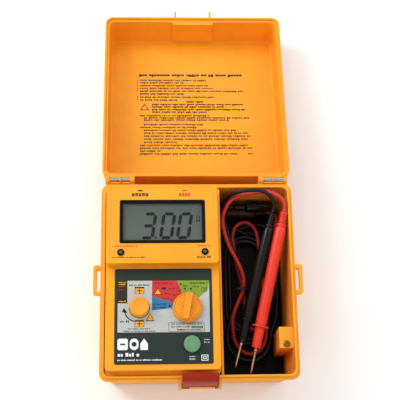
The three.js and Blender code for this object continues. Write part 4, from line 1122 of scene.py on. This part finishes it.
def panel_print():
    """The panel: coloured range zones, marks, rows of blocks for its wording, and plain white shapes."""
    p = Print(LABEL_Z)
    p.shape(
        [(-59.5, -3.4), (8.4, -3.5), (8.2, -46.9), (-67.4, -46.8), (-67.4, -22.5), (-59.5, -22.5)],
        ink_grey, 1, [circle(KNOB_HOLE + 0.1, KNOB_AT), circle(TEST_HOLE + 0.1, TEST_AT)],
    )
    p.shape([(-39, -3.4), (-18.6, -3.4), (-14.9, -11.3), (-14.6, -19.2), (-21.3, -22.2), (-39.2, -16.7)],
            ink_red, 2)
    p.shape([(-39.2, -16.7), (-21.3, -22.2), (-18.6, -24.2), (-19, -27.2), (-22.1, -26.8), (-39.3, -28.6)],
            ink_blue, 2)
    p.shape([
        (-18.6, -3.4), (8.4, -3.5), (7.6, -10.8), (1.9, -16.2), (-3, -19.4), (-14.6, -19.2), (-14.9, -11.3),
    ], ink_green, 2)
    # the dark column and the two boxes beside the test button
    p.bar(-67.4, -22.3, -60.0, -3.4, ink_dark, 1)
    for y, ink in (
        (-5.2, ink_amber), (-6.9, ink_amber), (-8.6, ink_red), (-11.5, ink_deep_red), (-21.4, ink_amber),
    ):
        p.text_row(-66.6, -60.6, y, 1.15, ink, 2, int(-y * 10), 0.66)
    for x in (-64.8, -62.3):
        p.bar(x, -19.2, x + 1.2, -13.2, ink_brown, 2)
    for y0, y1 in ((-14.5, -9.0), (-42.2, -36.9)):
        p.bar(-53.4, y0 - 0.2, -45.6, y1 + 0.3, ink_dark, 2)
        p.bar(-53.0, y0 + 0.1, -49.8, y1 - 0.9, ink_amber, 3)
        p.bar(-49.2, y0 + 0.1, -46.0, y1 - 0.9, ink_amber, 3)
        p.bar(-51.6, (y0 + y1) / 2 - 0.5, -47.4, (y0 + y1) / 2 + 0.2, ink_brown, 4)
    for x0, x1, y, height, seed in (
        (-58.2, -41.2, -7.8, 1.35, 3), (-58.6, -40.6, -44.4, 1.2, 4), (-62.3, -35.8, -46.4, 1.1, 5),
        (-65.4, -57.0, -38.5, 1.7, 8),
    ):
        p.text_row(x0, x1, y, height, ink_dark, 2, seed)
    for cx, cy, size in ((-34.3, -12.6, 7.0), (-40.8, -34.3, 7.4)):
        p.shape(triangle(cx, cy, size), ink_dark, 3)
        p.shape(triangle(cx, cy - 0.1, size - 1.7), ink_amber, 4)
    # the bent arrow of the button's lock
    steps = 12
    start, end, bulge = Vector((-53.6, -37.6)), Vector((-61.9, -29.2)), Vector((1.05, 1.52))
    arrow = [start.lerp(end, i / steps) - bulge * math.sin(math.pi * i / steps) for i in range(steps + 1)]
    sides = [], []
    for i, q in enumerate(arrow):
        tangent = (arrow[min(i + 1, steps)] - arrow[max(i - 1, 0)]).normalized()
        for way, side in zip(sides, (0.45, -0.45)):
            way.append((q.x - tangent.y * side, q.y + tangent.x * side))
    p.shape(sides[0] + sides[1][::-1], ink_dark, 2)
    p.shape([(-64.0, -29.9), (-59.4, -30.6), (-62.3, -26.2)], ink_dark, 2)
    # range marks round the knob
    for x, y in ((-11.9, -10.5), (-6.9, -10.5), (-15.4, -6.6)):
        p.dot(x, y, 0.85, ink_dark, 3)
    for x, y in ((-16.4, -12.3), (-20.6, -15.8), (-23.3, -20.0)):
        p.dot(x, y, 0.85, ink_deep_red, 3)
    p.dot(-24.6, -24.9, 0.9, ink_dark, 3)
    p.shape(flat_rounded((-31.2, -27.6), (-11.1, -9.2), 0.9, 4), ink_dark, 3)
    for x0, x1, y, height, ink, seed, weight in (
        (-37.8, -21.4, -6.3, 1.3, ink_deep_red, 11, 0.7), (-25.4, -17.8, -10.8, 1.3, ink_deep_red, 12, 0.7),
        (-28.6, -21.8, -15.2, 1.3, ink_deep_red, 13, 0.7), (-30.4, -24.6, -19.0, 1.3, ink_deep_red, 14, 0.7),
        (-38.4, -26.6, -23.9, 1.25, ink_dark, 15, 0.7), (-38.4, -26.6, -26.9, 1.25, ink_dark, 16, 0.7),
        (-7.6, 7.4, -6.3, 1.3, ink_dark, 17, WEIGHT), (-5.4, 0.2, -9.2, 1.2, ink_dark, 18, WEIGHT),
        (-13.4, -9.4, -8.6, 1.2, ink_dark, 19, WEIGHT),
    ):
        p.text_row(x0, x1, y, height, ink, 3, seed, weight)
    p.box_line(1.9, -13.0, 4.2, -9.6, 0.35, ink_dark, 3)
    p.box_line(4.6, -13.0, 6.4, -9.6, 0.35, ink_dark, 3)
    # the box under the knob
    p.box_line(-25.6, -46.4, 3.7, -38.6, 0.35, ink_dark, 2)
    p.text_row(-23.4, 2.4, -40.6, 1.15, ink_dark, 2, 21)
    p.text_row(-23.4, -7.6, -43.0, 1.1, ink_dark, 2, 22)
    p.text_row(-6.6, 2.2, -43.6, 1.3, ink_green, 3, 23, 0.9)
    p.bar(-6.8, -43.8, 2.4, -42.1, ink_dark, 2)
    p.text_row(-18.8, -9.2, -45.5, 1.3, ink_deep_red, 2, 24, 0.85)
    p.text_row(-8.4, 2.0, -45.5, 1.0, ink_dark, 2, 25)
    # plain shapes and rows of blocks in white where the maker's words were
    p.shape(flat_rounded((-67.3, -58.9), (-61.2, -51.8), 1.6, 5), ink_white, 1)
    p.shape(flat_rounded((-57.4, -50.2), (-61.2, -51.8), 4.4, 6), ink_white, 1)
    p.shape([(-48.8, -61.2), (-42.6, -61.2), (-42.6, -56.2), (-45.7, -51.8), (-48.8, -56.2)], ink_white, 1)
    p.bar(-65.2, -57.2, -61.0, -55.8, film, 2)
    p.dot(-53.8, -56.5, 2.0, film, 2)
    p.text_row(-67.0, -49.2, -66.4, 2.9, ink_white, 1, 31, 0.72)
    p.text_row(-67.3, -29.8, -69.9, 1.2, ink_white, 1, 32, 0.68)
    p.box_line(0.8, -70.4, 6.4, -65.6, 0.55, ink_white, 1)
    p.box_line(2.2, -69.0, 5.0, -67.0, 0.45, ink_white, 1)
    for x, y in ((-8.9, -67.4), (-8.9, -69.6), (3.2, -53.6), (3.2, -55.8)):
        p.text_row(x, x + 5, y, 1.2, ink_grey, 1, int(abs(x * y)), 0.66)
    p.finish("panel_marks")


panel_print()


def display_print():
    """Marks round the display: two arrowheads, block letters by the jacks, and rows by the lamps."""
    p = Print(FIELD_Z)
    for cx, ink in ((-49.0, ink_dark), (-11.3, ink_panel_red)):
        p.shape([(cx - 2.6, 72.2), (cx + 2.6, 72.2), (cx + 1.5, 73.2), (cx, 73.8), (cx - 1.5, 73.2)], ink, 1)
    for cx, count, wide, ink in ((-49.0, 5, 2.3, ink_dark), (-11.3, 4, 1.9, ink_panel_red)):
        for k in range(count):
            x = cx + (k - (count - 1) / 2) * (wide + 0.6) - wide / 2
            p.bar(x, 67.7, x + wide, 70.6, ink, 1)
            low, high = (68.35, 69.0) if k % 2 else (69.4, 70.0)
            p.bar(x + 0.65, low, x + wide - 0.65, high, orange_ink, 2)
    p.text_row(-71.0, -50.6, 23.2, 1.5, ink_panel_red, 1, 41)
    p.text_row(-1.2, 10.6, 23.2, 1.5, ink_panel_red, 1, 42)
    p.text_row(-72.2, -43.9, 13.6, 1.3, ink_brown, 1, 43)
    p.text_row(-1.4, 10.8, 13.4, 1.7, ink_brown, 1, 44, 0.68)
    p.finish("display_marks")


display_print()


def display_digits():
    """Seven-segment figures that read 3.00, leaning a little, and a small unit sign."""
    p = Print(71.5)
    wide, tall, thick, lean, gap = 9.0, 21.0, 2.9, 0.15, 0.4
    half, t, y = tall / 2, thick / 2, 31.6

    def across(x, y):
        x0, x1 = x + gap, x + wide - gap
        return [(x0, y), (x0 + t, y + t), (x1 - t, y + t), (x1, y), (x1 - t, y - t), (x0 + t, y - t)]

    def upright(x, y):
        y0, y1 = y + gap, y + half - gap
        return [(x, y0), (x + t, y0 + t), (x + t, y1 - t), (x, y1), (x - t, y1 - t), (x - t, y0 + t)]

    shown = {3: "abcdg", 0: "abcdef"}
    for digit, x in ((3, -47.9), (0, -31.9), (0, -17.7)):
        bars = {
            "a": across(x, y + tall), "g": across(x, y + half), "d": across(x, y),
            "b": upright(x + wide, y + half), "c": upright(x + wide, y),
            "f": upright(x, y + half), "e": upright(x, y),
        }
        for key in shown[digit]:
            p.shape([(a + (b - y) * lean, b) for a, b in bars[key]], lcd_ink, 1)
    p.bar(-37.0, 31.0, -35.2, 32.8, lcd_ink, 1)
    p.box_line(-1.6, 46.4, 1.3, 50.4, 0.55, lcd_ink, 1)
    p.bar(-2.1, 45.6, -0.6, 46.2, lcd_ink, 1)
    p.bar(0.3, 45.6, 1.8, 46.2, lcd_ink, 1)
    p.finish("lcd_digits")


display_digits()


def lid_print():
    """Rows of small blocks inside the lid, where notes would be. distance counts from the rear wall."""
    p = Print(90.0, down=True)

    def row(x0, x1, distance, height, ink, seed, weight):
        p.text_row(x0, x1, HALF_Y - distance, height, ink, 1, seed, weight)

    row(-51, 49, 127.4, 2.9, ink_dark, 51, 0.78)
    first = ((12.7, 121.4), (-8, 118.6), (16.8, 115.3), (20.5, 112.4), (48.8, 109.2), (-7, 106.0),
             (20.6, 102.5), (-14, 99.3))
    bold = 5
    for k, (x1, d) in enumerate(first):
        if k == bold:
            row(-50, x1, d, 1.95, ink_dark, 60 + k, 0.8)
        else:
            row(-50, x1, d, 1.95, ink_brown, 60 + k, 0.72)
            p.bar(-53.0, HALF_Y - d, -52.0, HALF_Y - d + 1.2, ink_brown, 1)
    row(-6.2, 10.5, 97.4, 2.2, ink_dark, 71, 0.8)
    for k, (x1, d) in enumerate(((49.5, 94.4), (30, 91.7), (49, 88.9), (14, 86.0))):
        row(-38.8, x1, d, 2.0, ink_dark, 80 + k, 0.8)
    last = ((-50, 15.8, 82.1), (-46.3, 53, 79.7), (-46.3, 34, 77.3), (-46.3, 10.8, 72.6), (-50, 3.2, 69.4),
            (-46.3, 40, 66.3), (-46.3, 52, 63.2), (-46.3, 53, 60.0), (-46.3, 52, 56.8), (-46.3, -14.8, 53.5),
            (-50, 52.2, 50.2), (-50, 55.5, 47.2), (-50, -30, 44.2), (-50, 40, 41.2))
    for k, (x0, x1, d) in enumerate(last):
        row(x0, x1, d, 1.95, ink_brown, 90 + k, 0.72)
    row(50, 55.5, 41.2, 1.5, ink_brown, 120, WEIGHT)
    mark = [(x, HALF_Y - y) for x, y in ((-50.2, 87.4), (-41.4, 87.4), (-45.8, 94.6))]
    hole = [(x, HALF_Y - y) for x, y in ((-48.9, 88.1), (-42.7, 88.1), (-45.8, 93.2))]
    p.shape(mark, ink_brown, 1, [hole])
    p.finish("lid_marks", place=LID, body="lid")


lid_print()

# -------- parts inside the module
for node, material in {
    "knob_shaft": steel, "rotary_switch_body": black, "test_plunger": black, "test_spring": steel,
    "test_switch": black, "power_switch": black, "main_board": board_green, "step_up_transformer": core,
    "buzzer": black, "battery_tray": black, **{f"battery_{k}": cell for k in range(1, 7)},
}.items():
    mesh = nodes[node].data
    mesh.materials.clear()
    mesh.materials.append(material)

# -------- floor and light
FLOOR_HALF = 3.0
floor_mesh = bpy.data.meshes.new("floor")
floor_outline = corners(-FLOOR_HALF, -FLOOR_HALF, FLOOR_HALF, FLOOR_HALF)
floor_mesh.from_pydata([(x, y, 0) for x, y in floor_outline], [], [(0, 1, 2, 3)])
floor = placed("floor", floor_mesh)
paper = Nodes("floor_paper")
paper.set(Base_Color=paper.mix(paper.noise(3), (250, 250, 250), (255, 255, 255)), Roughness=0.9,
          Specular_IOR_Level=0.1)
floor_mesh.materials.append(paper.material)

world = bpy.data.worlds.new("studio")
bpy.context.scene.world = world
world.use_nodes = True
sky = world.node_tree.nodes["Background"].inputs
sky["Color"].default_value = (1, 1, 1, 1)
sky["Strength"].default_value = 0.6
bpy.context.scene.view_settings.view_transform = "Standard"


def softbox(name, place, aim, size, power):
    """A rectangular lamp at place that faces aim, with its size in metres and power in watts."""
    data = bpy.data.lights.new(name, "AREA")
    data.shape = "RECTANGLE"
    data.size, data.size_y = size
    data.energy = power
    lamp = placed(name, data)
    lamp.location = place
    lamp.rotation_mode = "QUATERNION"
    lamp.rotation_quaternion = (Vector(aim) - Vector(place)).to_track_quat("-Z", "Y")


softbox("light_left", (-0.8, 0.42, 0.72), (0, 0.06, 0.03), (0.5, 0.7), 6.6)
softbox("light_right", (0.85, 0.2, 0.8), (0, 0.02, 0.03), (0.5, 0.9), 2.2)
softbox("light_back", (-0.1, 0.6, 0.95), (0, 0.1, 0.03), (1.1, 0.6), 3.0)
softbox("light_front", (-0.1, -0.95, 0.7), (0, 0.05, 0.05), (1.1, 0.6), 2.2)
